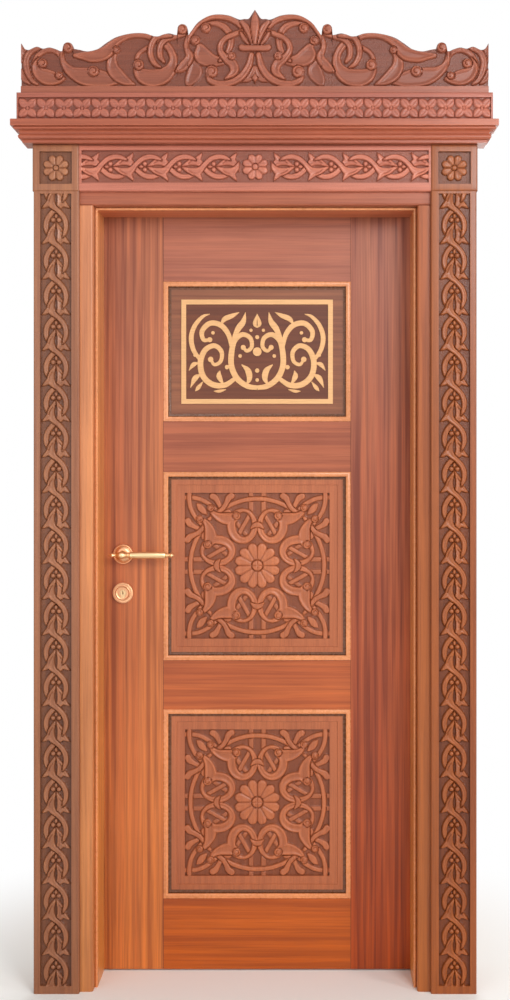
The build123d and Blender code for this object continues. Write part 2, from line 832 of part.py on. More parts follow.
field_half_x = inner_half - inlay_edge / 2 - inlay_strip
field_half_z = (inlay_high - inlay_low) / 2 - inlay_edge / 2 - inlay_strip
inlay_fit = min((field_half_x - inlay_gap) / inlay_end_tip, (field_half_z - inlay_gap) / inlay_leaf_tip)
with BuildPart() as inlay_ornament:
    with BuildSketch(inlay_face):
        add(inlay_pattern.sketch.scale(inlay_fit))
    extrude(amount=inlay_thickness)
inlay_ornament.part.label = "inlay_ornament"
export_step(inlay_ornament.part, "parts/inlay_ornament.step")

# Lift-off hinges: a knuckle and pin below on the frame, a bored knuckle above on the leaf

knuckle_length = (hinge_height - knuckle_gap) / 2
for kind, side, back in (("frame", 1, jamb_back), ("door", -1, leaf_back)):
    with BuildPart() as hinge_leaves:
        for height in hinge_heights.values():
            low = height - hinge_height / 2
            high = height + hinge_height / 2
            plate_x = pin_x + side * hinge_slack / 2
            across = sorted((plate_x, plate_x + side * hinge_plate))
            flat_end = pin_y - knuckle_radius - knuckle_gap
            own_low = low if side > 0 else high - knuckle_length
            block(across, (back - hinge_width, flat_end), (low, high))
            block(across, (flat_end, pin_y), (own_low, own_low + knuckle_length))
            with BuildSketch(Plane.XY.offset(own_low)) as knuckle:
                with Locations((pin_x, pin_y)):
                    RegularPolygon(knuckle_radius, round_sides)
            extrude(amount=knuckle_length)
            if side < 0:
                with BuildSketch(Plane.XY.offset(own_low)) as bore:
                    with Locations((pin_x, pin_y)):
                        RegularPolygon(pin_radius + pin_play, bore_sides, major_radius=False)
                extrude(amount=knuckle_length, mode=Mode.SUBTRACT)
    hinge_leaves.part.label = f"hinge_{kind}_leaves"
    export_step(hinge_leaves.part, f"parts/hinge_{kind}_leaves.step")

with BuildPart() as hinge_pins:
    for height in hinge_heights.values():
        with BuildSketch(Plane.XY.offset(height - knuckle_gap / 2)) as pin_section:
            with Locations((pin_x, pin_y)):
                Circle(pin_radius)
        extrude(amount=hinge_height / 2 + knuckle_gap / 2)
hinge_pins.part.label = "hinge_pins"
export_step(hinge_pins.part, "parts/hinge_pins.step")

# Lock: case, faceplate, strike, bolts, follower and cylinder

case_near = -leaf_half + faceplate_thickness
case_far = case_near + case_depth
with BuildPart() as lock_case:
    block((case_near, case_far), (case_front, case_back), (case_bottom, case_top))
    cut_block(
        (case_near + case_wall, case_far - case_wall),
        (case_front + case_wall, case_back - case_wall),
        (case_bottom + case_wall, case_top - case_wall),
    )
    cut_bore(spindle_height, hub_radius + hub_play, case_front, case_back)
    cut_euro(case_front, case_back, bolt_play)
    for centre, half in ((latch_z, latch_height / 2), (dead_z, dead_height / 2)):
        window = (centre - half - bolt_play, centre + half + bolt_play)
        cut_block((case_near, case_near + case_wall), bolt_faces(bolt_play), window)
lock_case.part.label = "lock_case"
export_step(lock_case.part, "parts/lock_case.step")

with BuildPart() as lock_faceplate:
    block(
        (-leaf_half, case_near),
        (leaf_middle - faceplate_width / 2, leaf_middle + faceplate_width / 2),
        (case_bottom - faceplate_margin, case_top + faceplate_margin),
    )
    for centre, half in ((latch_z, latch_height / 2), (dead_z, dead_height / 2)):
        window = (centre - half - bolt_play, centre + half + bolt_play)
        cut_block((-leaf_half, case_near), bolt_faces(bolt_play), window)
lock_faceplate.part.label = "lock_faceplate"
export_step(lock_faceplate.part, "parts/lock_faceplate.step")

strike_low = dead_z - dead_height
strike_high = latch_z + latch_height
with BuildPart() as strike_plate:
    block(
        (-rebate_x - strike_thickness, -rebate_x),
        (leaf_middle - faceplate_width / 2, leaf_middle + faceplate_width / 2),
        (strike_low, strike_high),
    )
    for centre, half in ((latch_z, latch_height / 2), (dead_z, dead_height / 2)):
        window = (centre - half - bolt_play, centre + half + bolt_play)
        cut_block((-rebate_x - strike_thickness, -rebate_x), bolt_faces(bolt_play), window)
strike_plate.part.label = "strike_plate"
export_step(strike_plate.part, "parts/strike_plate.step")

latch_tip = -leaf_half - latch_travel
latch_head_end = case_near + case_wall + latch_travel + latch_tail_clear
latch_tail_end = spindle_x + arm_width / 2 + arm_lead + latch_hook
with BuildPart() as latch_bolt:
    with BuildSketch(Plane.XY.offset(latch_z - latch_height / 2)) as nose:
        with BuildLine():
            near, far = bolt_faces(0)
            Polyline(
                (latch_tip + latch_travel, near),
                (latch_tip, far - latch_nose),
                (latch_tip, far),
                (latch_head_end, far),
                (latch_head_end, near),
                close=True,
            )
        make_face()
    extrude(amount=latch_height)
    block(
        (latch_head_end, latch_tail_end),
        (leaf_middle - arm_thickness / 2, leaf_middle + arm_thickness / 2),
        (spindle_height + hub_radius + latch_lift, spindle_height + arm_length + latch_bridge),
    )
    cut_block(
        (spindle_x - arm_width / 2 - arm_trail, spindle_x + arm_width / 2 + arm_lead),
        (leaf_middle - arm_thickness / 2, leaf_middle + arm_thickness / 2),
        (spindle_height, spindle_height + arm_length + arm_over),
    )
latch_bolt.part.label = "latch_bolt"
export_step(latch_bolt.part, "parts/latch_bolt.step")

with BuildPart() as dead_bolt:
    block(
        (-leaf_half + seal_gap, -leaf_half + dead_length),
        bolt_faces(0),
        (dead_z - dead_height / 2, dead_z + dead_height / 2),
    )
dead_bolt.part.label = "dead_bolt"
export_step(dead_bolt.part, "parts/dead_bolt.step")

with BuildPart() as follower:
    hub_plane = Plane((spindle_x, case_front, spindle_height), x_dir=(1, 0, 0), z_dir=(0, -1, 0))
    with BuildSketch(hub_plane) as hub:
        RegularPolygon(hub_radius, round_sides)
    extrude(amount=-case_thickness)
    block(
        (spindle_x - arm_width / 2, spindle_x + arm_width / 2),
        (leaf_middle - arm_thickness / 2, leaf_middle + arm_thickness / 2),
        (spindle_height, spindle_height + arm_length),
    )
    socket = spindle_side / 2 + spindle_play
    cut_block(
        (spindle_x - socket, spindle_x + socket),
        (case_front, case_back),
        (spindle_height - socket, spindle_height + socket),
    )
follower.part.label = "follower"
export_step(follower.part, "parts/follower.step")

rose_front = leaf_front - rose_thickness
rose_back = leaf_back + rose_thickness
with BuildPart() as cylinder_body:
    body_plane = Plane((spindle_x, rose_front, key_height), x_dir=(1, 0, 0), z_dir=(0, -1, 0))
    extrude(euro_profile(body_plane), amount=rose_front - rose_back)
    cut_block(
        (spindle_x - barrel_radius, spindle_x + barrel_radius),
        (leaf_middle - cam_thickness / 2 - cam_gap, leaf_middle + cam_thickness / 2 + cam_gap),
        (key_height - cam_radius - cam_gap, key_height + barrel_radius),
    )
    cut_bore(key_height, plug_radius + plug_play, rose_front, rose_back)
cylinder_body.part.label = "cylinder_body"
export_step(cylinder_body.part, "parts/cylinder_body.step")

with BuildPart() as cylinder_plug:
    plug_plane = Plane((spindle_x, rose_front, key_height), x_dir=(1, 0, 0), z_dir=(0, -1, 0))
    with BuildSketch(plug_plane) as plug_section:
        Circle(plug_radius)
    extrude(amount=rose_front - rose_back)
    block(
        (spindle_x - arm_width / 2, spindle_x + arm_width / 2),
        (leaf_middle - cam_thickness / 2, leaf_middle + cam_thickness / 2),
        (key_height, key_height + cam_radius),
    )
    for near, far in ((rose_front, rose_front + keyway_depth), (rose_back - keyway_depth, rose_back)):
        cut_block(
            (spindle_x - keyway_width / 2, spindle_x + keyway_width / 2),
            (near, far),
            (key_height - keyway_height / 2, key_height + keyway_height / 2),
        )
cylinder_plug.part.label = "cylinder_plug"
export_step(cylinder_plug.part, "parts/cylinder_plug.step")

# Handles: roses, levers and spindle

rose_seats = {"front": (leaf_front, -1), "back": (leaf_back, 1)}
with BuildPart() as lever_roses:
    for seat, outward in rose_seats.values():
        plane = Plane((spindle_x, seat, spindle_height), x_dir=(1, 0, 0), z_dir=(0, outward, 0))
        with BuildSketch(plane) as rose_section:
            RegularPolygon(rose_radius, rose_sides)
            RegularPolygon(neck_radius + neck_play, bore_sides, major_radius=False, mode=Mode.SUBTRACT)
        extrude(amount=rose_thickness)
lever_roses.part.label = "lever_roses"
export_step(lever_roses.part, "parts/lever_roses.step")

with BuildPart() as key_roses:
    for seat, outward in rose_seats.values():
        plane = Plane((spindle_x, seat, key_height), x_dir=(1, 0, 0), z_dir=(0, outward, 0))
        with BuildSketch(plane) as rose_section:
            RegularPolygon(rose_radius, rose_sides)
        extrude(amount=rose_thickness)
    cut_euro(rose_front, rose_back, key_play)
key_roses.part.label = "key_roses"
export_step(key_roses.part, "parts/key_roses.step")

with BuildPart() as finial:
    with BuildSketch(Plane.YZ):
        RegularPolygon(finial_radius, finial_sides)
    extrude(amount=finial_length)
    for end, end_radius in ((0, finial_waist), (-1, finial_tip)):
        end_face = finial.faces().sort_by(Axis.X)[end]
        chamfer(end_face.edges(), finial_radius - end_radius, finial_slope, reference=end_face)

for name, (seat, outward) in rose_seats.items():
    grip_y = seat + outward * handle_reach
    grip_start = (spindle_x - neck_radius, grip_y, spindle_height)
    with BuildPart() as lever:
        with BuildSketch(Plane(grip_start, x_dir=(0, 1, 0), z_dir=(1, 0, 0))):
            RegularPolygon(grip_radius, grip_sides)
        extrude(amount=grip_length + neck_radius)
        for place, turn in ((grip_length, 0), (-neck_radius, 180)):
            with Locations(Location((spindle_x + place, grip_y, spindle_height), (0, 0, turn))):
                add(finial.part)
        neck_plane = Plane((spindle_x, seat, spindle_height), x_dir=(1, 0, 0), z_dir=(0, outward, 0))
        with BuildSketch(neck_plane) as neck:
            Circle(neck_radius)
        extrude(amount=handle_reach)
        with BuildSketch(neck_plane) as socket_section:
            Rectangle(2 * socket, 2 * socket)
        extrude(amount=socket_depth, mode=Mode.SUBTRACT)
    lever.part.label = f"lever_{name}"
    export_step(lever.part, f"parts/lever_{name}.step")

with BuildPart() as spindle:
    block(
        (spindle_x - spindle_side / 2, spindle_x + spindle_side / 2),
        (leaf_front - socket_depth, leaf_back + socket_depth),
        (spindle_height - spindle_side / 2, spindle_height + spindle_side / 2),
    )
spindle.part.label = "spindle"
export_step(spindle.part, "parts/spindle.step")
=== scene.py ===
import bmesh
import bpy
import numpy as np
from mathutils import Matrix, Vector


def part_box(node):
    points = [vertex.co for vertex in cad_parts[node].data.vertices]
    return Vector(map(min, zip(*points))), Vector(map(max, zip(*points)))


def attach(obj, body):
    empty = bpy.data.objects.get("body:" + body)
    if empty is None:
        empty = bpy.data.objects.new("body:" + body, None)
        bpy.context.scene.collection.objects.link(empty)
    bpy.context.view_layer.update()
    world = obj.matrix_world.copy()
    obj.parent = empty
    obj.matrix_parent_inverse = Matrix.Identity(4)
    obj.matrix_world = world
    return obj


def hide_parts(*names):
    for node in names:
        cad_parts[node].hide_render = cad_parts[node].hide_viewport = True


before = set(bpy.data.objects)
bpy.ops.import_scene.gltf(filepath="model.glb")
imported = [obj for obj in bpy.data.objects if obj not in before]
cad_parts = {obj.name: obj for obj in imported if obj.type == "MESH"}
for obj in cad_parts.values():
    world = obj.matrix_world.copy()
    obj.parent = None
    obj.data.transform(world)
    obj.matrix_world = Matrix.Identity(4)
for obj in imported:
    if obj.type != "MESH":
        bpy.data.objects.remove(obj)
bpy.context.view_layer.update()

bl_info = {
    "name": "Carved door looks",
    "version": (1, 0, 0),
    "blender": (4, 5, 0),
    "location": "View3D > Sidebar > Carved door",
    "description": "Carving, mouldings, inlay, brass and timber finishes for a carved door in its frame",
    "category": "Object",
}

MM = 0.001
SIDES = {"left": -1, "right": 1}
PANELS = ("top", "middle", "bottom")


def corners(node):
    """A node's lowest and highest corners in millimetres."""
    low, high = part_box(node)
    return np.array(low) / MM, np.array(high) / MM


# Settings

class CarvingSettings(bpy.types.PropertyGroup):
    """Sizes that the carved boards are made with."""
    cell: bpy.props.FloatProperty(
        name="Cell", description="Distance between the points of a carved face, in millimetres",
        default=1.65, min=0.8, max=6.0)
    vine_depth: bpy.props.FloatProperty(
        name="Vine depth", description="Depth of the ground behind the running vine, in millimetres",
        default=8.0, min=2.0, max=12.0)
    panel_depth: bpy.props.FloatProperty(
        name="Panel depth", description="Depth of the ground in the two square panels, in millimetres",
        default=7.0, min=2.0, max=10.0)
    crest_depth: bpy.props.FloatProperty(
        name="Crest depth", description="Depth of the ground between the crest's scrolls, in millimetres",
        default=9.0, min=2.0, max=14.0)


class TimberSettings(bpy.types.PropertyGroup):
    """Colours of the timber, as they look in daylight."""
    # The upper tone's pink is partly the wood's own and partly painted glare
    upper: bpy.props.FloatVectorProperty(
        name="Upper tone", description="Pinkish brown of the upper boards", subtype="COLOR", size=3,
        default=(0.686, 0.42, 0.298), min=0.0, max=1.0)
    lower: bpy.props.FloatVectorProperty(
        name="Lower tone", description="Orange brown of the lower boards", subtype="COLOR", size=3,
        default=(0.769, 0.431, 0.192), min=0.0, max=1.0)


class StageSettings(bpy.types.PropertyGroup):
    """The photographer's place."""
    camera_x: bpy.props.FloatProperty(
        name="Across", description="How far the camera stands to the right of the door's middle",
        default=0.116, unit="LENGTH")
    camera_back: bpy.props.FloatProperty(
        name="Back", description="How far the camera stands in front of the origin",
        default=3.502, unit="LENGTH")
    camera_height: bpy.props.FloatProperty(
        name="Height", description="Height of the camera's eye above the floor",
        default=1.405, unit="LENGTH")
    lens: bpy.props.FloatProperty(
        name="Lens", description="Focal length of the camera, in millimetres", default=47.4, min=20.0)


# Colours and nodes

def linear(code):
    """A linear colour from an sRGB hex code: c / 12.92 below 0.04045, else ((c + 0.055) / 1.055) ** 2.4."""
    parts = np.array([int(code[at:at + 2], 16) for at in (1, 3, 5)]) / 255
    line = np.where(parts <= 0.04045, parts / 12.92, ((parts + 0.055) / 1.055) ** 2.4)
    return (*line.tolist(), 1.0)


def hex_code(colour):
    """The sRGB hex code of a colour property that holds display values from 0 to 1."""
    return "#" + "".join(f"{round(part * 255):02X}" for part in colour)


def add_node(tree, kind, settings=None, links=None):
    """A node with its settings, and with its inputs linked to other nodes' outputs or set to values."""
    node = tree.nodes.new(kind)
    for name, value in (settings or {}).items():
        setattr(node, name, value)
    for socket, source in (links or {}).items():
        if isinstance(source, bpy.types.NodeSocket):
            tree.links.new(source, node.inputs[socket])
        else:
            node.inputs[socket].default_value = source
    return node


def new_material(name):
    """An empty material with its output and principled shader."""
    material = bpy.data.materials.new(name)
    material.use_nodes = True
    tree = material.node_tree
    tree.nodes.clear()
    shader = add_node(tree, "ShaderNodeBsdfPrincipled")
    add_node(tree, "ShaderNodeOutputMaterial", links={"Surface": shader.outputs["BSDF"]})
    return material, tree, shader


def ramp(tree, factor, stops):
    """A colour ramp through the given places and colours."""
    node = add_node(tree, "ShaderNodeValToRGB", links={"Fac": factor})
    elements = node.color_ramp.elements
    while len(elements) < len(stops):
        elements.new(0.5)
    for element, (place, colour) in zip(elements, stops):
        element.position = place
        element.color = colour
    return node.outputs["Color"]


def multiply(tree, first, second, amount=1.0):
    """Two colours multiplied."""
    return add_node(tree, "ShaderNodeMix", {"data_type": "RGBA", "blend_type": "MULTIPLY"}, {
        "Factor": amount, "A": first, "B": second}).outputs["Result"]


def timber(name, upper, lower, grain="Z", streak=1.0, carved=False, shine=0.38, seed=0.0, cut=1.0):
    """Varnished ribbon-striped mahogany: broad violet and golden ribbons, fine dark pores, satin lacquer.

    Broad ribbons are 40 mm wide and 2.6 m long, narrow ones 12 mm wide and 0.7 m long. Pores are 2 mm
    wide and 130 mm long, drawn coarser than life so that they show. A carved board darkens towards its
    ground, partly stain and partly painted shade, and a highlight is painted just under the tops of its
    carving. Its ground is stippled with dents 3 mm apart, and cut scales the stain and painted shade of its
    low parts. The grain runs along Z or X, or is even where bars run both ways, and seed shifts it.
    """
    material, tree, shader = new_material(name)
    place = add_node(tree, "ShaderNodeTexCoord").outputs["Object"]
    along, even = 0.016, 0.2
    scale = {"Z": (1.0, 1.0, along), "X": (along, 1.0, 1.0), "even": (even, even, even)}[grain]
    drawn = add_node(tree, "ShaderNodeMapping", links={
        "Vector": place, "Location": (seed, seed * 0.7, seed * 1.3), "Scale": scale}).outputs["Vector"]
    noises = {}
    for kind, per_metre in (("broad", 24.0), ("narrow", 85.0), ("pores", 480.0)):
        noises[kind] = add_node(tree, "ShaderNodeTexNoise", links={
            "Vector": drawn, "Scale": per_metre, "Detail": 2.0, "Roughness": 0.55}).outputs["Fac"]
    patches = add_node(tree, "ShaderNodeTexNoise", links={"Vector": place, "Scale": 3.0, "Detail": 2.0})
    # Boards pass from the lower tone at 0.1 m to the upper tone at 1.9 m; the upper tone's pink is partly
    # painted glare
    height = add_node(tree, "ShaderNodeSeparateXYZ", links={"Vector": place}).outputs["Z"]
    rise = add_node(tree, "ShaderNodeMapRange", links={"Value": height, "From Min": 0.1, "From Max": 1.9})
    colour = add_node(tree, "ShaderNodeMix", {"data_type": "RGBA"}, {
        "Factor": rise.outputs["Result"], "A": linear(lower), "B": linear(upper)}).outputs["Result"]
    broad = ramp(tree, noises["broad"], [
        (0.34, (0.84, 0.76, 0.78, 1)), (0.50, (1.0, 1.0, 1.0, 1)), (0.66, (1.10, 1.12, 1.04, 1))])
    narrow = ramp(tree, noises["narrow"], [
        (0.38, (0.66, 0.56, 0.56, 1)), (0.46, (0.88, 0.84, 0.84, 1)),
        (0.54, (1.06, 1.06, 1.03, 1)), (0.64, (1.26, 1.24, 1.12, 1))])
    pores = ramp(tree, noises["pores"], [(0.36, (0.80, 0.76, 0.74, 1)), (0.50, (1, 1, 1, 1))])
    cloudy = ramp(tree, patches.outputs["Fac"], [
        (0.32, (0.92, 0.90, 0.88, 1)), (0.68, (1.06, 1.06, 1.06, 1))])
    colour = multiply(tree, colour, broad, streak)
    colour = multiply(tree, colour, narrow, streak)
    colour = multiply(tree, colour, pores, 0.15 if grain == "even" else 0.7)
    colour = multiply(tree, colour, cloudy)
    texture = noises["pores"]
    if carved:
        relief = add_node(tree, "ShaderNodeAttribute", {"attribute_name": "relief"}).outputs["Fac"]
        stipple = add_node(tree, "ShaderNodeTexVoronoi", links={"Vector": place, "Scale": 330.0})
        # Painted shade and highlight: low parts darken, partly stain and partly painted shade scaled by cut,
        # and a highlight is painted just under the tops
        stain_shade_and_highlight = ramp(tree, relief, [
            (0.0, (0.54 * cut, 0.46 * cut, 0.40 * cut, 1)), (0.30, (0.66 * cut, 0.58 * cut, 0.52 * cut, 1)),
            (0.70, (1.0, 0.98, 0.96, 1)), (0.93, (1.12, 1.10, 1.06, 1)), (1.0, (1.0, 0.98, 0.97, 1))])
        colour = multiply(tree, colour, stain_shade_and_highlight)
        sunk = add_node(tree, "ShaderNodeMapRange", links={
            "Value": relief, "From Min": 0.05, "From Max": 0.3, "To Min": 5.0, "To Max": 0.0})
        texture = add_node(tree, "ShaderNodeMath", {"operation": "MULTIPLY_ADD"}, {
            0: stipple.outputs["Distance"], 1: sunk.outputs["Result"], 2: noises["pores"]}).outputs["Value"]
        dents = ramp(tree, stipple.outputs["Distance"], [
            (0.1, (0.78, 0.76, 0.74, 1)), (0.6, (1.08, 1.08, 1.08, 1))])
        colour = multiply(tree, colour, dents, 0.35)
    bump = add_node(tree, "ShaderNodeBump", links={"Height": texture, "Strength": 0.3, "Distance": 0.0004})
    rough = add_node(tree, "ShaderNodeMapRange", links={
        "Value": noises["pores"], "To Min": shine - 0.05, "To Max": shine + 0.08})
    tree.links.new(colour, shader.inputs["Base Color"])
    tree.links.new(rough.outputs["Result"], shader.inputs["Roughness"])
    tree.links.new(bump.outputs["Normal"], shader.inputs["Normal"])
    shader.inputs["Coat Weight"].default_value = 0.1
    shader.inputs["Coat Roughness"].default_value = 0.22
    shader.inputs["Specular IOR Level"].default_value = 0.4
    return material


def stained_ground(name, strip, stain, node, inset):
    """Mahogany with a field stained darker behind a node that frames it, from inset mm inside its edge."""
    low, high = corners(node)
    middle = ((low + high) / 2 * MM).tolist()
    half = (((high - low) / 2 - inset) * MM).tolist()
    material = timber(name, strip, strip, "X", 0.5, seed=2.9)
    tree = material.node_tree
    shader = tree.nodes["Principled BSDF"]
    place = add_node(tree, "ShaderNodeTexCoord").outputs["Object"]
    offset = add_node(tree, "ShaderNodeVectorMath", {"operation": "SUBTRACT"}, {0: place, 1: middle})
    size = add_node(tree, "ShaderNodeVectorMath", {"operation": "ABSOLUTE"}, {0: offset.outputs["Vector"]})
    parts = add_node(tree, "ShaderNodeSeparateXYZ", links={"Vector": size.outputs["Vector"]})
    near = {}
    for axis, reach in (("X", half[0]), ("Z", half[2])):
        near[axis] = add_node(tree, "ShaderNodeMath", {"operation": "LESS_THAN"}, {
            0: parts.outputs[axis], 1: reach}).outputs["Value"]
    within = add_node(tree, "ShaderNodeMath", {"operation": "MULTIPLY"}, {0: near["X"], 1: near["Z"]})
    plain = shader.inputs["Base Color"].links[0].from_socket
    tree.links.new(multiply(tree, plain, linear(stain), within.outputs["Value"]), shader.inputs["Base Color"])
    return material


def joint_shadow(name):
    """The dark line of shadow and old lacquer that gathers where two boards meet."""
    material, _, shader = new_material(name)
    shader.inputs["Base Color"].default_value = linear("#5A3222")
    shader.inputs["Roughness"].default_value = 0.8
    return material


def pale_wood(name, colour):
    """Maple cut for inlay: even and pale, a faint grain 2.4 mm wide and 40 mm long, satin lacquer."""
    material, tree, shader = new_material(name)
    place = add_node(tree, "ShaderNodeTexCoord").outputs["Object"]
    stretched = add_node(tree, "ShaderNodeMapping", links={"Vector": place, "Scale": (0.06, 1.0, 1.0)})
    grain = add_node(tree, "ShaderNodeTexNoise", links={
        "Vector": stretched.outputs["Vector"], "Scale": 420.0, "Detail": 3.0})
    tone = ramp(tree, grain.outputs["Fac"], [(0.3, (0.90, 0.87, 0.82, 1)), (0.65, (1.03, 1.03, 1.03, 1))])
    mixed = multiply(tree, linear(colour), tone)
    bump = add_node(tree, "ShaderNodeBump", links={
        "Height": grain.outputs["Fac"], "Strength": 0.2, "Distance": 0.0002})
    tree.links.new(mixed, shader.inputs["Base Color"])
    tree.links.new(bump.outputs["Normal"], shader.inputs["Normal"])
    shader.inputs["Roughness"].default_value = 0.42
    return material


def polished_metal(name, colour, roughness, wear="#8A5A2C"):
    """Cast or rolled metal, polished: sharp highlights, duller patches 11 mm wide, marks under 1 mm."""
    material, tree, shader = new_material(name)
    place = add_node(tree, "ShaderNodeTexCoord").outputs["Object"]
    patches = add_node(tree, "ShaderNodeTexNoise", links={"Vector": place, "Scale": 90.0, "Detail": 4.0})
    scratches = add_node(tree, "ShaderNodeTexNoise", links={"Vector": place, "Scale": 1400.0, "Detail": 1.0})
    tarnish = add_node(tree, "ShaderNodeMapRange", links={
        "Value": patches.outputs["Fac"], "From Min": 0.55, "From Max": 0.8, "To Max": 0.35})
    mixed = add_node(tree, "ShaderNodeMix", {"data_type": "RGBA"}, {
        "Factor": tarnish.outputs["Result"], "A": linear(colour), "B": linear(wear)})
    rough = add_node(tree, "ShaderNodeMapRange", links={
        "Value": patches.outputs["Fac"], "To Min": roughness, "To Max": roughness + 0.14})
    bump = add_node(tree, "ShaderNodeBump", links={
        "Height": scratches.outputs["Fac"], "Strength": 0.06, "Distance": 0.0001})
    tree.links.new(mixed.outputs["Result"], shader.inputs["Base Color"])
    tree.links.new(rough.outputs["Result"], shader.inputs["Roughness"])
    tree.links.new(bump.outputs["Normal"], shader.inputs["Normal"])
    shader.inputs["Metallic"].default_value = 1.0
    return material


# Each finish's material, filled by the first operator
MATERIALS = {}


def dress(node, name):
    """Gives a node that comes from the CAD model its finish."""
    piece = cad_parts[node]
    piece.data.materials.clear()
    piece.data.materials.append(MATERIALS[name])


# Meshes

def new_piece(name, points, faces, material, body, crease=35, relief=None):
    """A piece from points in millimetres and groups of faces, riding on a body.

    Edges that turn by more than crease degrees are sharp, and relief is a value at each point.
    """
    mesh = bpy.data.meshes.new(name)
    corner_lists = [face for group in faces for face in np.asarray(group).tolist()]
    mesh.from_pydata((np.asarray(points) * MM).tolist(), [], corner_lists)
    mesh.polygons.foreach_set("use_smooth", np.ones(len(mesh.polygons), bool))
    if relief is not None:
        attribute = mesh.attributes.new("relief", "FLOAT", "POINT")
        attribute.data.foreach_set("value", relief.astype(np.float32))
    mesh.update()
    mesh.set_sharp_from_angle(angle=np.radians(crease))
    piece = bpy.data.objects.new(name, mesh)
    bpy.context.scene.collection.objects.link(piece)
    mesh.materials.append(MATERIALS[material])
    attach(piece, body)
    return piece


def grid_quads(rows, columns, start=0, closed=False):
    """The four corners of each cell of a grid stored row by row, closed along its rows where asked."""
    index = start + np.arange(rows * columns).reshape(rows, columns)
    if closed:
        index = np.concatenate([index, index[:, :1]], axis=1)
    return np.stack([index[:-1, :-1], index[:-1, 1:], index[1:, 1:], index[1:, :-1]], axis=-1).reshape(-1, 4)


def board(name, x, z, front, back, depth, relief, material, body):
    """A board with a carved front: y = front + depth(x, z) on the grid, plain sides and a plain back.

    x, z and depth are grids whose rows run up the board.
    """
    rows, columns = x.shape
    face = np.stack([x, front + depth, z], axis=-1).reshape(-1, 3)
    index = np.arange(rows * columns).reshape(rows, columns)
    rim = np.concatenate([index[0, :-1], index[:-1, -1], index[-1, :0:-1], index[:0:-1, 0]])
    behind = face[rim].copy()
    behind[:, 1] = back
    rear = rows * columns + np.arange(len(rim))
    sides = np.stack([rim, rear, np.roll(rear, -1), np.roll(rim, -1)], axis=-1)
    values = np.concatenate([relief.ravel(), np.ones(len(rim))])
    return new_piece(name, np.concatenate([face, behind]), [grid_quads(rows, columns), sides, rear[None, :]],
                     material, body, crease=52, relief=values)


def lines(low, high, cell):
    """Evenly spaced values from low to high, about a cell apart."""
    return np.linspace(low, high, int(round((high - low) / cell)) + 1)


# A rounded edge: how far it reaches in, where its grid lines lie, and how many lines frame a sunk field
EASED = 4.0
EASING = np.array([0.0, 0.5, 1.3, 2.5, EASED])
BORDER = len(EASING) + 2


def framed(low, inner_low, inner_high, high, cell, wall=0.6, lip=0.8):
    """Grid lines of a board with a sunk field: a rounded edge, a flat border, a steep wall, the field."""
    field = lines(inner_low + wall, inner_high - wall, cell)
    return np.concatenate([low + EASING, [inner_low - lip, inner_low], field,
                           [inner_high, inner_high + lip], high - EASING[::-1]])


def edge_drop(line):
    """How far a board's face falls back at its rounded edges: a quarter circle at both ends."""
    near = np.minimum(np.minimum(line - line[0], line[-1] - line), EASED)
    return EASED - np.sqrt(EASED ** 2 - (EASED - near) ** 2)


# Carving in relief

def smooth_path(points, steps=10):
    """A Catmull-Rom curve through rows of x, z and half width.

    Between points b and c, with a before and d after, it is half of
    2b + (c - a) t + (2a - 5b + 4c - d) t^2 + (3b - a - 3c + d) t^3.
    """
    row = np.asarray(points, float)
    row = np.vstack([2 * row[0] - row[1], row, 2 * row[-1] - row[-2]])
    a, b, c, d = (row[at:len(row) - 3 + at, None, :] for at in range(4))
    t = np.linspace(0, 1, steps, endpoint=False)[None, :, None]
    square, cube = (2 * a - 5 * b + 4 * c - d) * t ** 2, (3 * b - a - 3 * c + d) * t ** 3
    curve = 0.5 * (2 * b + (c - a) * t + square + cube)
    return np.vstack([curve.reshape(-1, row.shape[1]), row[-2]])


def in_strand(x, z, points, steps=10):
    """How far a point lies inside a tapering strand: the most of (half width - distance) along its curve."""
    best = np.full(x.shape, -1e3)
    for across, up, half in smooth_path(points, steps):
        best = np.maximum(best, half - np.hypot(x - across, z - up))
    return best


def in_disc(x, z, across, up, radius):
    """How far a point lies inside a disc."""
    return radius - np.hypot(x - across, z - up)


def lay(ground, inside, height, edge=3.4, gap=1.5, hollow=0.0):
    """Carves a shape over what is there: a quarter-round edge up to its height, and a cut gap round it.

    The edge is height * sqrt(1 - (1 - inside / edge) ** 2). Where the shape is wide, its middle is
    dished by the hollow's share of the height.
    """
    dish_width = 8.0
    rise = np.clip(inside / edge, 0, 1)
    dish = np.clip((inside - 0.8 * edge) / dish_width, 0, 1)
    shape = height * np.sqrt(1 - (1 - rise) ** 2) * (1 - hollow * dish * (2 - dish))
    return np.where(inside > 0, shape, ground * np.clip(-inside / gap, 0, 1))


def button(ground, x, z, across, up, radius, height):
    """A domed boss with a groove cut round its foot.

    The dome's height is 0.72 + 0.28 sqrt(1 - (distance / 0.8 radius) ** 2) of the full one.
    """
    distance = np.hypot(x - across, z - up)
    foot = 0.92 * radius
    dome = height * (0.72 + 0.28 * np.sqrt(np.clip(1 - (distance / (0.8 * radius)) ** 2, 0, 1)))
    groove = np.clip(np.abs(distance - foot) / (0.14 * radius), 0, 1)
    carved = np.where(distance < foot, dome * groove, ground * groove)
    return np.where(distance < 1.1 * radius, carved, ground)


def volute(ground, x, z, across, up, radius, height):
    """A scroll eye: a round end with one turn of a groove that winds in to its middle.

    The groove's radius falls from the full radius to 0.38 of it in one turn.
    """
    distance = np.hypot(x - across, z - up)
    reach = 1.12 * radius
    ground = lay(ground, reach - distance, height, edge=0.4 * radius, gap=1.3)
    turn = np.mod(np.arctan2(z - up, x - across) / (2 * np.pi) + 0.25, 1.0)
    cut = np.exp(-((distance - radius * (1.0 - 0.62 * turn)) / (0.12 * radius)) ** 2)
    return np.where(distance < reach, ground * (1 - 0.5 * cut), ground)


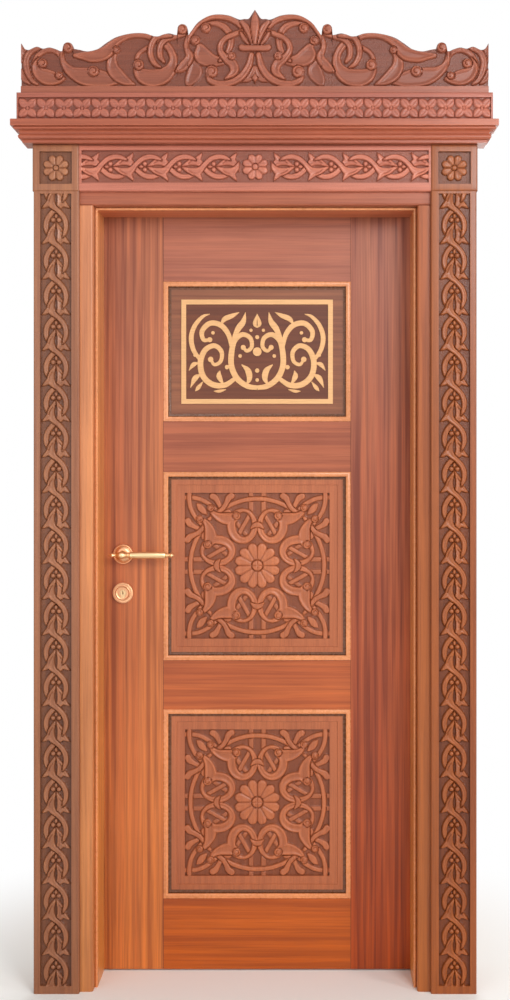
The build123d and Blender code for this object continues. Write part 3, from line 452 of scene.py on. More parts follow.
def rosette(ground, x, z, across, up, radius, petals, height, boss):
    """Petals round a boss: each fills its own sector and ends in the circle that touches both its sides."""
    distance = np.hypot(x - across, z - up)
    step = 2 * np.pi / petals
    swing = np.mod(np.arctan2(z - up, x - across), step) - step / 2
    along = distance * np.cos(swing)
    over = distance * np.sin(swing)
    centre = radius / (1 + np.sin(step / 2))
    width = centre * np.sin(step / 2)
    side = distance * np.sin(step / 2 - np.abs(swing))
    inside = np.where(along < centre, side, width - np.hypot(along - centre, over)) - 0.5
    rise = np.clip(inside / (0.8 * width), 0, 1)
    petal = height * (0.45 + 0.55 * np.sqrt(1 - (1 - rise) ** 2))
    petal = petal * (1 - 0.14 * np.exp(-(over / (0.3 * width)) ** 2))
    outside = np.clip((distance - radius - 1.0) / 2.0, 0, 1)
    ground = np.where(inside > 0, petal, np.where(distance < 0.8 * radius, 0.42 * height, ground * outside))
    return button(ground, x, z, across, up, boss, height)


def vine(u, v, pitch, height):
    """One length of the running vine, repeated every pitch along v, with u across it.

    Two strands cross, bow out round three berries and tuck in under a pair of leaves. Each leaf has a
    flared end, and its root runs on over the crossing as the other side's next strand. The length is
    drawn 92 mm long and stretched to the pitch.
    """
    drawn = 92
    stretch = pitch / drawn
    v = np.mod(v, pitch) / stretch
    strand = [(-14, -12, 6.0), (-4, -4, 6.8), (8, 6, 7.0), (19, 19, 7.2), (25, 34, 7.4), (25.5, 49, 7.0),
              (22, 62, 5.6), (17, 72, 2.6)]
    leaf = [(0.8, 32.5, 0.9), (5.0, 44, 5.4), (9.6, 56, 9.0), (12.4, 67, 11.2), (12, 77, 11.0), (5, 87, 8.0),
            (-4, 94, 6.8)]
    flare = [(13, 70, 9.5), (20, 77, 8.0), (28, 83.5, 5.2), (35.5, 88.5, 1.4)]
    ground = np.zeros_like(u)
    for side in (-1, 1):
        inside = np.full(u.shape, -1e3)
        for turn in (-drawn, 0, drawn):
            for way, points, steps in ((side, strand, 7), (-side, leaf, 7), (-side, flare, 6)):
                inside = np.maximum(inside, in_strand(u * way, v - turn, points, steps))
        ground = lay(ground, inside, height, edge=4.8, gap=1.5, hollow=0.3)
    for side in (-1, 1):
        lip = in_strand(u * side, v, [(9, 52, 0.3), (15, 62, 0.5), (18, 72, 0.4)], 6)
        ground = ground * (1 - 0.4 * np.exp(-(np.minimum(lip, 0) / 0.8) ** 2))
    slit = in_strand(u, v, [(0, 42, 0.5), (0, 52, 3.4), (0, 62, 4.7), (0, 72, 3.6), (0, 80, 0.5)], 7)
    ground = ground * np.clip(1 - slit / 1.5, 0.05, 1)
    low_berry = in_strand(u, v, [(0, 11, 0.8), (0, 16.5, 4.6), (0, 20.5, 4.3)], 6)
    ground = lay(ground, low_berry, height * 0.9, edge=4.2, gap=1.6)
    for side in (-1, 1):
        ground = lay(ground, in_disc(u, v, side * 7.6, 27.5, 6.7), height * 0.9, edge=5.2, gap=1.4)
    return ground


def in_ellipse(x, z, across, up, wide, high):
    """About how far a point lies inside an ellipse: (1 - scaled distance) times its smaller half width."""
    return (1 - np.hypot((x - across) / wide, (z - up) / high)) * min(wide, high)


# Straps and leaves of a quarter of a square panel, in the order they are laid: each group's strands
# are rows of x, z and half width with their share of the full height, and lie both ways about the diagonal
PANEL_STRANDS = [
    [([(17, 200, 7.2), (17, 175, 7.2), (17, 148, 7.2)], 0.6),
     ([(62, 126, 6.4), (46, 104, 6.4), (20, 70, 6.4)], 0.6)],
    [([(20, 138, 6.4), (36, 110, 6.4), (54, 78, 6.4)], 0.72)],
    [([(200, 184, 6.8), (178, 184.5, 6.8), (155, 180, 6.8), (132, 168, 6.6), (115, 154, 6),
       (104, 144, 5)], 0.84),
     ([(121, 188, 9.5), (113, 183, 9), (106, 171, 7.2), (99, 158, 6.6), (88, 150, 6.4), (76, 146, 6)], 0.8)],
    [([(-8, 181.5, 6.6), (16, 180.5, 6.6), (38, 177, 6.6), (60, 170, 6.6), (82, 160, 6.6), (104, 148, 6.4),
       (120, 136, 6.0), (128, 128, 5.2)], 0.95),
     ([(70, 189, 9.5), (78, 183, 9), (83, 172, 7.4), (91, 158, 6.8), (103, 147, 6.2), (113, 139, 5.2)], 1.0)],
]
PANEL_BUD = [(164, 168, 2), (156, 160, 8.5), (149, 151, 9.5), (139, 141, 4)]
PANEL_HORN = [(128, 152, 3.4), (122, 144, 6.8), (112, 136, 10.0), (99, 130, 13.5), (85, 127, 16.5),
              (71, 127, 16.5), (60, 132, 12.0)]
PANEL_BAR = [(-9, 109, 7), (3, 111, 7.4), (12, 106, 5.0), (19, 99, 1.2)]


def panel_quarter(x, z, height):
    """A quarter of a square panel, from its middle outwards, alike across its diagonal.

    Bowed straps run round the field and cross at forks, horned leaves curl from scroll eyes into linked
    loops, crossed bars fill the loops and a twelve-petal rosette sits in the middle.
    """
    ground = np.zeros_like(x)
    ways = ((x, z), (z, x))
    for group in PANEL_STRANDS:
        for a, b in ways:
            for points, share in group:
                ground = lay(ground, in_strand(a, b, points), height * share)
    ground = lay(ground, in_strand(x, z, PANEL_BUD), height * 0.85)
    for a, b in ways:
        outer, inner = in_ellipse(a, b, 40.5, 107.0, 42.5, 49.0), in_ellipse(a, b, 36.7, 111.5, 21.5, 32.5)
        loop = np.maximum(np.minimum(outer, -inner), in_strand(a, b, PANEL_HORN))
        ground = lay(ground, loop, height, edge=5.6, hollow=0.4)
        ground = lay(ground, in_strand(a, b, PANEL_BAR), height)
        ground = volute(ground, a, b, 127, 156, 9.0, height)
        ground = volute(ground, a, b, 56.5, 134.5, 10.0, height)
    ground = rosette(ground, x, z, 0, 0, 63, 12, height, 17)
    cross = np.minimum(np.abs(x), np.abs(z))
    return np.where(np.hypot(x, z) < 14, ground - 0.3 * height * np.exp(-(cross / 1.4) ** 2), ground)


def crest_top(x, outline, bumps):
    """Height of the crest's upper edge: the smooth outline, raised by round bumps where scrolls stand out.

    A bump's height is z + sqrt(radius ** 2 - (x - its middle) ** 2).
    """
    curve = smooth_path([(across, up, 0.0) for across, up in outline], 8)
    top = np.interp(np.abs(x), curve[:, 0], curve[:, 1])
    for across, up, radius in bumps:
        bump = up + np.sqrt(np.clip(radius ** 2 - (np.abs(x) - across) ** 2, 0, None))
        top = np.where(np.abs(np.abs(x) - across) < radius, np.maximum(top, bump), top)
    return top


# Half of the crest from its middle: its upper edge as x and z, and the round bumps on it as x, z and radius
CREST_OUTLINE = [
    (0, 217), (8, 205), (16, 194), (28, 193), (41, 192), (66, 202), (96, 205), (122, 199),
    (147, 183), (163, 162), (174, 150), (202, 152), (224, 156), (253, 148), (283, 156), (317, 156),
    (355, 147), (381, 132), (404, 116), (430, 110), (452, 114), (470, 116), (496, 110), (510, 115),
    (528, 120), (545, 117), (561, 122), (580, 114), (592, 117), (600, 130),
]
CREST_BUMPS = [(186, 167, 13), (480, 120, 13)]

# Its strands in the order they are laid, as rows of x, z and half width with their share of the full height
CREST_STRANDS = [
    ([(600, 126, 5), (594, 108, 8), (600, 84, 5)], 0.7),
    ([(600, 58, 6), (592, 40, 8), (580, 26, 3)], 0.7),
    ([(552, 116, 5), (566, 114, 6), (580, 104, 7), (588, 84, 7), (584, 57, 7), (572, 35, 6),
      (560, 25, 4)], 0.75),
    ([(494, 88, 5), (504, 104, 6), (520, 112, 6), (540, 110, 6), (559, 96, 6), (568, 72, 6), (564, 46, 6),
      (548, 29, 4)], 0.85),
    ([(556, 90, 3), (562, 70, 9), (551, 51, 14), (531, 42, 17), (510, 38, 12), (492, 38, 5)], 1.0),
    ([(497, 108, 4), (491, 78, 7), (470, 56, 12), (440, 45, 19), (412, 41, 20), (382, 36, 16),
      (358, 32, 8)], 0.9),
    ([(158, 78, 8), (154, 58, 16), (166, 36, 12), (172, 26, 6)], 0.6),
    ([(37, 32, 3), (14, 42, 8), (3, 66, 6)], 0.7),
    ([(356, 108, 5), (366, 92, 9), (366, 68, 13), (352, 48, 14), (332, 33, 10), (310, 24, 3)], 0.85),
    ([(462, 98, 5), (440, 97, 9), (416, 96, 13), (384, 105, 14), (359, 131, 9), (327, 147, 6.5),
      (288, 150, 6.5), (256, 141, 7), (226, 124, 8), (210, 94, 8.5), (215, 66, 12), (235, 46, 17),
      (262, 40, 19), (286, 45, 16), (303, 60, 8), (306, 72, 4)], 1.0),
    ([(306, 74, 4), (304, 90, 5), (296, 105, 5), (278, 118, 5), (260, 124, 4)], 0.85),
    ([(180, 152, 4), (205, 146, 5.5), (229, 139, 6.5), (243, 122, 6.5), (244, 98, 6.5), (234, 82, 4)], 0.9),
    ([(216, 148, 4), (236, 148, 6), (254, 144, 6.5), (266, 124, 6.5), (268, 100, 6.5), (258, 78, 6),
      (243, 68, 3)], 1.0),
    ([(201, 58, 4), (186, 69, 10), (168, 94, 9), (175, 114, 6), (176, 128, 6), (169, 148, 6), (147, 179, 6.5),
      (120, 195, 6.5), (92, 198, 6.5), (61, 191, 6.5), (36, 173, 6), (20, 146, 5)], 0.95),
    ([(150, 128, 4), (140, 118, 9), (134, 98, 18), (112, 86, 14), (84, 83, 8), (68, 86, 4)], 0.9),
    ([(121, 180, 4), (100, 180, 6), (77, 170, 7.5), (63, 148, 7.5), (64, 120, 7), (77, 96, 5.5),
      (90, 84, 4)], 0.95),
    ([(34, 162, 4), (52, 153, 6), (76, 142, 6), (88, 126, 6.5), (88, 108, 7), (73, 88, 8), (57, 76, 10),
      (54, 56, 9), (76, 38, 3)], 1.0),
    ([(122, 56, 4), (116, 35, 6.5), (92, 26, 7), (60, 29, 7.5), (34, 45, 8), (16, 72, 7.5),
      (9, 100, 6)], 1.0),
    ([(7, 128, 4), (13, 150, 6), (22, 170, 7), (34, 184, 5)], 0.85),
    ([(16, 126, 3), (28, 142, 5), (36, 156, 4)], 0.8),
]

# Its scroll eyes, as x, z and radius
CREST_EYES = [
    (546, 78, 11.5), (503, 47, 9.5), (481, 119, 13), (415, 58, 13), (356, 112, 9), (299, 74, 13),
    (187, 166, 13), (126, 169, 12), (153, 137, 11.5), (60, 97, 10), (111, 57, 14.5),
]


def crest_carving(x, z, height, top):
    """The crest's scrolls, alike on both sides of the middle, with a palmette on a collar between them."""
    across = np.abs(x)
    ground = np.zeros_like(x)
    fullness, foot, rim_width = 1.25, 19, 5.0
    for points, share in CREST_STRANDS:
        fuller = [(place, up, half * fullness) for place, up, half in points]
        ground = lay(ground, in_strand(across, z, fuller, 8), height * share, edge=6.5, gap=2.0, hollow=0.5)
    for place, up, radius in CREST_EYES:
        ground = volute(ground, across, z, place, up, radius, height)
    palmette = in_strand(across, z, [(0, 128, 5), (0, 150, 9), (0, 176, 12), (0, 196, 8), (0, 214, 1)])
    ground = lay(ground, palmette, height, edge=6.0)
    ground = lay(ground, in_strand(across, z, [(0, 117, 8), (28, 117, 8), (34, 119, 8.5)]), height, edge=4.0)
    ground = lay(ground, 9 - np.abs(across) - 0.7 * np.abs(z - 40), height, edge=4.0)
    ground = np.where(z < foot, height, ground)
    rim = np.clip((top - z) / rim_width, 0, 1)
    return ground * np.sqrt(1 - (1 - rim) ** 2)


def band_flowers(x, z, pitch, height):
    """A row of flowers, each with four pointed petals on its diagonals: half width 11.4 sin(pi t) ** 0.65.

    t runs from 0 in the flower's middle to 1 at the petal's tip.
    """
    u = np.abs(np.mod(x + pitch / 2, pitch) - pitch / 2)
    up = np.abs(z)
    angle, reach = np.radians(48.5), 32.0
    along = (u * np.cos(angle) + up * np.sin(angle)) / reach
    over = np.abs(up * np.cos(angle) - u * np.sin(angle))
    width = 11.4 * np.sin(np.pi * np.clip(along, 0, 1)) ** 0.65
    inside = (width - over) * 0.9
    petal = height * np.sqrt(1 - (1 - np.clip(inside / 6.0, 0, 1)) ** 2)
    petal = petal * (1 - 0.3 * np.exp(-(over / 1.6) ** 2))
    ground = np.where(inside > 0, petal, 0.0)
    return lay(ground, in_disc(u, z, 0.0, 0.0, 4.6), height, edge=3.6, gap=1.2)


# Pieces: carved boards

def carve(depth, height):
    """Depth below the front and share of the full height, from a carved height."""
    return depth - height, np.clip(height / depth, 0, 1)


def walled(values, fill, border=BORDER):
    """Puts border lines round the values of a sunk field."""
    return np.pad(values, border, constant_values=fill)


def sunk_board(name, node, x_lines, z_lines, field, depth, material, ends_x=True, ends_z=True):
    """A board whose field, inside flat borders, is carved to the given heights. Chosen ends are rounded."""
    low, high = corners(node)
    below, share = carve(depth, field)
    grid_x, grid_z = np.meshgrid(x_lines, z_lines)
    deep = walled(below, 0.0)
    drop_x = edge_drop(x_lines) if ends_x else np.zeros(len(x_lines))
    drop_z = edge_drop(z_lines) if ends_z else np.zeros(len(z_lines))
    deep = np.maximum(deep, np.maximum(drop_x[None, :], drop_z[:, None]))
    relief = walled(share, 1.0)
    piece = board(name, grid_x, grid_z, low[1], high[1], deep, relief, material, "frame")
    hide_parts(node)
    return piece


def field_lines(line):
    """The part of a framed set of lines that lies in the sunk field."""
    return line[BORDER:-BORDER]


def make_pilasters(settings):
    """Both pilasters: plain borders, a plinth ledge and the vine running down the sunk ground."""
    frieze_low, _ = corners("frieze")
    outer, inner, ledge, top_border, pitch = 17.0, 20.0, 20.0, 6.0, 92.0
    for name, side in SIDES.items():
        low, high = corners(f"pilaster_{name}")
        near, far = (inner, outer) if side > 0 else (outer, inner)
        x_lines = framed(low[0], low[0] + near, high[0] - far, high[0], settings.cell)
        z_lines = framed(low[2], low[2] + ledge, high[2] - top_border, high[2], settings.cell)
        u = field_lines(x_lines) - (low[0] + near + high[0] - far) / 2
        v = frieze_low[2] + pitch / 2 - field_lines(z_lines)
        grid_u, grid_v = np.meshgrid(u, v)
        field = vine(grid_u, grid_v, pitch, settings.vine_depth)
        sunk_board(f"carved_pilaster_{name}", f"pilaster_{name}", x_lines, z_lines, field,
                   settings.vine_depth, f"pilaster_timber_{name}", ends_z=False)


def make_corner_blocks(settings):
    """The two corner blocks, each with an eight-petal rosette in a sunk square."""
    border, radius, petals, boss = 18.0, 35, 8, 8
    for name in SIDES:
        low, high = corners(f"corner_block_{name}")
        x_lines = framed(low[0], low[0] + border, high[0] - border, high[0], settings.cell)
        z_lines = framed(low[2], low[2] + border, high[2] - border, high[2], settings.cell)
        grid_x, grid_z = np.meshgrid(field_lines(x_lines), field_lines(z_lines))
        middle = (low + high) / 2
        field = rosette(np.zeros_like(grid_x), grid_x, grid_z, middle[0], middle[2], radius, petals,
                        settings.vine_depth, boss)
        sunk_board(f"carved_corner_block_{name}", f"corner_block_{name}", x_lines, z_lines, field,
                   settings.vine_depth, f"pilaster_timber_{name}")


def make_frieze(settings):
    """The frieze board: the vine lying down, running to a rosette in the middle."""
    low, high = corners("frieze")
    top_border, bottom_border, end_border, pitch = 14.0, 22.0, 6.0, 89.0
    radius, petals, boss, gap, fade = 35.0, 8, 9, 10.0, 4
    x_lines = framed(low[0], low[0] + end_border, high[0] - end_border, high[0], settings.cell)
    z_lines = framed(low[2], low[2] + bottom_border, high[2] - top_border, high[2], settings.cell)
    grid_x, grid_z = np.meshgrid(field_lines(x_lines), field_lines(z_lines))
    axis = (low[2] + bottom_border + high[2] - top_border) / 2
    field = vine(grid_z - axis, radius + gap - np.abs(grid_x), pitch, settings.vine_depth)
    away = np.abs(grid_x) - radius - gap + 1.5 * fade
    field = field * np.clip(away / fade, 0, 1)
    field = rosette(field, grid_x, grid_z, 0, axis, radius, petals, settings.vine_depth, boss)
    sunk_board("carved_frieze", "frieze", x_lines, z_lines, field, settings.vine_depth, "level_timber",
               ends_x=False)


def make_flower_band(settings):
    """The band of four-petal flowers above the cornice."""
    low, high = corners("flower_band")
    top_border, bottom_border, pitch, count, depth = 13.0, 3.0, 46.5, 26, 5.0
    half, cell = pitch * count / 2, settings.cell * 1.1
    x_lines = framed(low[0], -half, half, high[0], cell)
    z_lines = framed(low[2], low[2] + bottom_border, high[2] - top_border, high[2], cell)
    grid_x, grid_z = np.meshgrid(field_lines(x_lines), field_lines(z_lines))
    axis = (low[2] + bottom_border + high[2] - top_border) / 2
    field = band_flowers(grid_x - pitch / 2, grid_z - axis, pitch, depth)
    sunk_board("carved_flower_band", "flower_band", x_lines, z_lines, field, depth, "band_timber")


def make_crest(settings):
    """The fretted crest: its upper edge follows the scrolls, and its face is carved between them."""
    low, high = corners("crest_board")
    rows = 110
    x_line = lines(low[0], high[0], settings.cell * 1.25)
    share = np.linspace(0, 1, rows)
    top = crest_top(x_line, CREST_OUTLINE, CREST_BUMPS)
    top = np.minimum(top, high[2] - low[2])
    grid_x, grid_share = np.meshgrid(x_line, share)
    grid_z = grid_share * top[None, :]
    height = crest_carving(grid_x, grid_z, settings.crest_depth, top[None, :])
    below, relief = carve(settings.crest_depth, height)
    piece = board("carved_crest", grid_x, low[2] + grid_z, low[1], high[1], below, relief, "crest_timber",
                  "frame")
    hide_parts("crest_board")


def make_square_panels(settings):
    """The two square panels of the leaf, carved alike: a quarter is worked out and mirrored twice.

    From the moulding inwards, a flat strip ends at a step down, and the field starts at the border.
    """
    border, step, flat, slope, rest = 57.0, 2.0, 35.0, 0.8, 0.5
    drawn = 196.0
    for name in ("middle", "bottom"):
        low, high = corners(f"panel_{name}")
        moulding_low, moulding_high = corners(f"front_moulding_{name}")
        middle = (moulding_low + moulding_high) / 2
        half_x = (moulding_high[0] - moulding_low[0]) / 2
        half_z = (moulding_high[2] - moulding_low[2]) / 2
        quarter_x = lines(0, half_x - border - rest, settings.cell)
        quarter_z = lines(0, half_z - border - rest, settings.cell)
        grid_x, grid_z = np.meshgrid(quarter_x, quarter_z)
        scale = (half_x - border) / drawn
        quarter = panel_quarter(grid_x / scale, grid_z / scale, settings.panel_depth)
        half = np.concatenate([quarter[:, :0:-1], quarter], axis=1)
        field = np.concatenate([half[:0:-1], half], axis=0)
        below, share = carve(settings.panel_depth, field)
        full = []
        spans = ((quarter_x, half_x, high[0]), (quarter_z, half_z, high[2] - middle[2]))
        for quarter_line, reach, end in spans:
            rim = [reach - border, reach - border + slope, reach - flat - slope, reach - flat, end]
            line = np.concatenate([quarter_line, rim])
            full.append(np.concatenate([-line[:0:-1], line]))
        deep = walled(walled(below + step, step, 3), 0.0, 2)
        relief = walled(share, 1.0, 5)
        all_x, all_z = np.meshgrid(full[0], full[1] + middle[2])
        piece = board(f"carved_panel_{name}", all_x, all_z, low[1], high[1], deep, relief, "panel_timber",
                      "leaf")
        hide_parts(f"panel_{name}")


# Pieces: mouldings

def arc(count, centre, radius, start, end):
    """Points on an arc between two angles in degrees: centre + radius * (cos, sin)."""
    turn = np.radians(np.linspace(start, end, count))
    return [(centre[0] + radius * np.cos(angle), centre[1] + radius * np.sin(angle)) for angle in turn]


def heal(piece):
    """Turns every face of a piece outwards."""
    shape = bmesh.new()
    shape.from_mesh(piece.data)
    bmesh.ops.recalc_face_normals(shape, faces=shape.faces)
    shape.to_mesh(piece.data)
    shape.free()


def swept(name, stations, material, body, nodes, closed=False, relief=None):
    """A run of moulding: its section stands at each station of the path and is joined to the next one."""
    count = len(stations[0])
    ring = np.arange(count)
    spans = []
    for at in range(len(stations) if closed else len(stations) - 1):
        near = at * count + ring
        far = (at + 1) % len(stations) * count + ring
        spans.append(np.stack([near, np.roll(near, -1), np.roll(far, -1), far], axis=-1))
    if not closed:
        spans += [ring[None, ::-1], ring[None, :] + (len(stations) - 1) * count]
    if relief is not None:
        relief = np.tile(relief, len(stations))
    piece = new_piece(name, np.concatenate(stations), spans, material, body, relief=relief)
    heal(piece)
    if nodes:
        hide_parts(*nodes)
    return piece


def make_panel_mouldings():
    """A mitred moulding round each panel: a full bead proud of the leaf with a painted highlight, then a
    steep fall to the panel darkened with painted shade.

    The section is rows of distance in from the moulding's outer edge and depth behind its front.
    """
    bead_radius, bead_end, width = 7.0, 13.0, 21.0
    for name in PANELS:
        low, high = corners(f"front_moulding_{name}")
        deep = high[1] - low[1]
        profile = [(0.0, deep), (0.0, 3.2), (0.4, 1.6), (1.4, 0.7)]
        profile += arc(9, (bead_radius, bead_radius), bead_radius, -125, -20)
        profile += [(13.8, 6.4), (14.2, 9.0), (15.2, 10.8), (17.4, 11.8), (width, 12.0), (width, deep)]
        section = np.array(profile)
        # Painted light: the bead's tone gives it a painted highlight, and the fall's tone paints it dark with
        # shade
        tone = np.where(section[:, 0] < bead_end, 0.96, 0.0)
        middle, half = (low + high) / 2, (high - low) / 2
        stations = []
        for across, up in ((-1, -1), (1, -1), (1, 1), (-1, 1)):
            stations.append(np.stack([middle[0] + across * (half[0] - section[:, 0]), low[1] + section[:, 1],
                                      middle[2] + up * (half[2] - section[:, 0])], axis=-1))
        swept(f"panel_moulding_{name}", stations, "bead_timber_painted_highlight", "leaf",
              [f"front_moulding_{name}"], closed=True, relief=tone)


def make_casings():
    """The plain casing inside the pilasters and the frieze, its head laid across, its inner edge rounded."""
    low, high = corners("casing_left")
    head_low, head_high = corners("casing_head")
    width, depth, round_off, joint = high[0] - low[0], high[1] - low[1], 6.0, 0.4
    front = [(0.0, 0.0)] + arc(7, (width - round_off, round_off), round_off, -90, 0)
    section = np.array([(0.0, depth)] + front + [(width, depth)])
    outer, top = head_high[0], head_high[2]
    for name, side in SIDES.items():
        across = side * (outer - section[:, 0])
        stations = [np.stack([across, low[1] + section[:, 1], np.full(len(section), up)], axis=-1)
                    for up in (0.0, head_low[2] - joint)]
        swept(f"rounded_casing_{name}", stations, f"casing_timber_{name}", "frame",
              [f"casing_{name}"])
    stations = []
    for across in (-outer, outer):
        level = np.full(len(section), across)
        stations.append(np.stack([level, low[1] + section[:, 1], top - section[:, 0]], axis=-1))
    swept("rounded_casing_head", stations, "casing_timber_head", "frame", ["casing_head"])


def make_jamb_beads():
    """A half-round bead on the front edge of the jambs, between the casing and the opening, with a painted
    highlight.

    Its section is radius * (cos, sin) over half a turn, narrower than its seat and fuller than round.
    """
    # Painted highlight: tone 0.93 brightens the whole bead
    clearance, fuller, tone = 0.05, 0.6, 0.93
    casing, _ = corners("casing_right")
    jamb, _ = corners("jamb_right")
    head, _ = corners("head_jamb")
    radius = (casing[0] - jamb[0]) / 2
    centre, level = (casing[0] + jamb[0]) / 2, head[2] + radius
    section = np.array(arc(9, (0.0, 0.0), 1.0, 0, 180)) * (radius - clearance, -(radius + fuller))
    front = jamb[1] + section[:, 1]
    stations = []
    for across, up in ((-1, 0.0), (-1, None), (1, None), (1, 0.0)):
        height = np.full(len(section), up) if up is not None else level + section[:, 0]
        stations.append(np.stack([across * (centre + section[:, 0]), front, height], axis=-1))
    swept("jamb_edge_beads", stations, "bead_timber_painted_highlight", "frame", [],
          relief=np.full(len(section), tone))


def make_joints():
    """Thin dark lines where the rails meet the stiles, on both faces of the leaf."""
    stile, _ = corners("hinge_stile")
    seam, proud, width = stile[0], 0.15, 1.1
    ring = np.array([(-width / 2, 0.0), (-width / 4, -proud), (width / 4, -proud), (width / 2, 0.0)])
    points, faces, start = [], [], 0
    for rail in ("top_rail", "frieze_rail", "lock_rail", "bottom_rail"):
        low, high = corners(rail)
        for side in (-1, 1):
            across = side * seam + ring[:, 0]
            for face, outward in ((low[1], 1), (high[1], -1)):
                for up in (low[2], high[2]):
                    points.append(np.stack([across, face + outward * ring[:, 1], np.full(4, up)], axis=-1))
                faces.append(grid_quads(2, 4, start, closed=True))
                faces.append(start + np.array([[3, 2, 1, 0], [4, 5, 6, 7]]))
                start += 8
    piece = new_piece("rail_joint_lines", np.concatenate(points), faces, "joint_shadow", "leaf")
    heal(piece)


def make_cornice():
    """The cornice: one mitred run over the frieze and back to the wall at both ends.

    From below, its section has a fillet, a full round, a hollow, a bead and a square-edged lip. It is rows
    of distance out from the frieze and height.
    """
    low, high = corners("cornice_front")
    core, _ = corners("crown_core")
    wall = corners("cornice_return_left")[1][1]
    lip, tall, spread = high[0] + core[0], high[2] - low[2], 26.0
    foot = lip - spread
    profile = [(0.0, 0.0), (foot, 0.0), (foot, 6.5), (foot + 2.0, 7.0)]
    profile += arc(7, (foot + 2.5, 14.5), 7.0, -80, 75)
    profile += [(foot + 5.0, 21.6), (foot + 5.4, 23.0), (foot + 6.4, 25.4), (foot + 8.6, 28.0),
                (foot + 11.6, 30.0), (foot + 14.2, 30.8), (foot + 14.4, 31.8)]
    profile += arc(6, (foot + 16.0, 35.0), 3.8, -100, 60)
    profile += [(lip - 4.0, 38.5), (lip - 0.8, 38.5), (lip, 39.3), (lip, tall - 0.8), (lip - 0.8, tall)]
    profile += [(0.0, tall)]
    section = np.array(profile)
    out, up = section[:, 0], low[2] + section[:, 1]
    side_x, front_y, wall_y = high[0] - lip + out, low[1] + lip - out, np.full(len(out), wall)
    stations = [np.stack([side * side_x, y, up], axis=-1)
                for side, y in ((-1, wall_y), (-1, front_y), (1, front_y), (1, wall_y))]
    swept("mitred_cornice", stations, "cornice_timber", "frame",
          ["cornice_front", "cornice_return_left", "cornice_return_right"])


# Pieces: inlay

def ribbon(points, front, thickness, bevel=0.8, steps=14):
    """A flat pale strip along a smooth path: its section is a rectangle with eased top corners.

    The offset from the path is plus or minus the half width along the path's normal, drawn in by the bevel at
    the top, and the ends close where the half width falls to nothing.
    """
    path = smooth_path(points, steps)
    along = np.gradient(path[:, :2], axis=0)
    along /= np.maximum(np.linalg.norm(along, axis=1, keepdims=True), 1e-9)
    normal = np.stack([-along[:, 1], along[:, 0]], axis=-1)
    half = np.maximum(path[:, 2], 0.05)
    top = np.maximum(half - bevel, 0.02)
    offsets = np.stack([half, half, top, -top, -half, -half], axis=0)
    depths = np.array([0, bevel - thickness, -thickness, -thickness, bevel - thickness, 0])
    place = path[None, :, :2] + offsets[:, :, None] * normal[None, :, :]
    y = np.broadcast_to((front + depths)[:, None], offsets.shape)
    shape = np.stack([place[..., 0], y, place[..., 1]], axis=-1).transpose(1, 0, 2)
    return shape.reshape(-1, 3), len(path)


def inlay_strips():
    """Half of the inlaid design as paths of x, z and half width: scrolls and leaves round a middle flower."""
    scroll = [(0, -84, 5.0), (26, -80, 6.0), (52, -62, 6.5), (66, -34, 6.5), (66, -2, 6.5)]
    scroll += [(58, 26, 6.0), (38, 40, 5.5), (18, 32, 5.0), (14, 12, 4.5), (26, 2, 4.0), (36, 10, 3.4)]
    outer = [(56, -62, 4.5), (84, -78, 6.0), (116, -76, 6.5), (140, -56, 6.5), (146, -24, 6.5), (134, 4, 6.0)]
    outer += [(110, 14, 5.5), (92, 0, 5.0), (94, -22, 4.4), (110, -30, 3.8), (120, -18, 3.2)]
    crown = [(66, 10, 4.0), (74, 40, 5.5), (94, 62, 6.0), (122, 66, 6.0), (142, 48, 5.5), (138, 28, 4.6)]
    crown += [(122, 28, 3.6)]
    end = [(146, -20, 4.0), (164, 4, 5.2), (170, 34, 5.5), (160, 62, 5.0), (140, 82, 3.6), (122, 88, 0.6)]
    tip = [(0, 56, 0.8), (6, 66, 4.5), (0, 88, 0.8)]
    leaves = [
        [(28, -78, 1.0), (20, -62, 6.0), (24, -44, 6.5), (40, -30, 1.0)],
        [(70, 14, 1.0), (50, 52, 6.5), (36, 70, 6.0), (30, 92, 0.6)],
        [(94, 62, 1.0), (84, 76, 5.5), (64, 84, 5.0), (46, 92, 0.6)],
        [(86, -78, 1.0), (98, -58, 6.0), (96, -44, 0.8)],
        [(144, -52, 1.0), (160, -62, 6.0), (172, -84, 0.6)],
        [(140, -70, 1.0), (152, -84, 4.5), (160, -92, 0.6)],
        [(150, -26, 1.0), (164, -30, 5.0), (176, -44, 0.6)],
        [(112, -92, 0.6), (98, -92, 3.5), (80, -88, 1.0)],
    ]
    return [scroll, outer, crown, end, tip] + leaves


# Dots of half the inlaid design, as x, z and radius
INLAY_DOTS = [
    (0, 0, 12), (0, 34, 5.5), (0, -44, 6), (0, -66, 5), (36, 10, 7), (120, -18, 7.5), (122, 28, 7),
    (78, -36, 6), (114, 44, 5), (44, -10, 5), (160, -8, 5), (16, 50, 4.5),
]


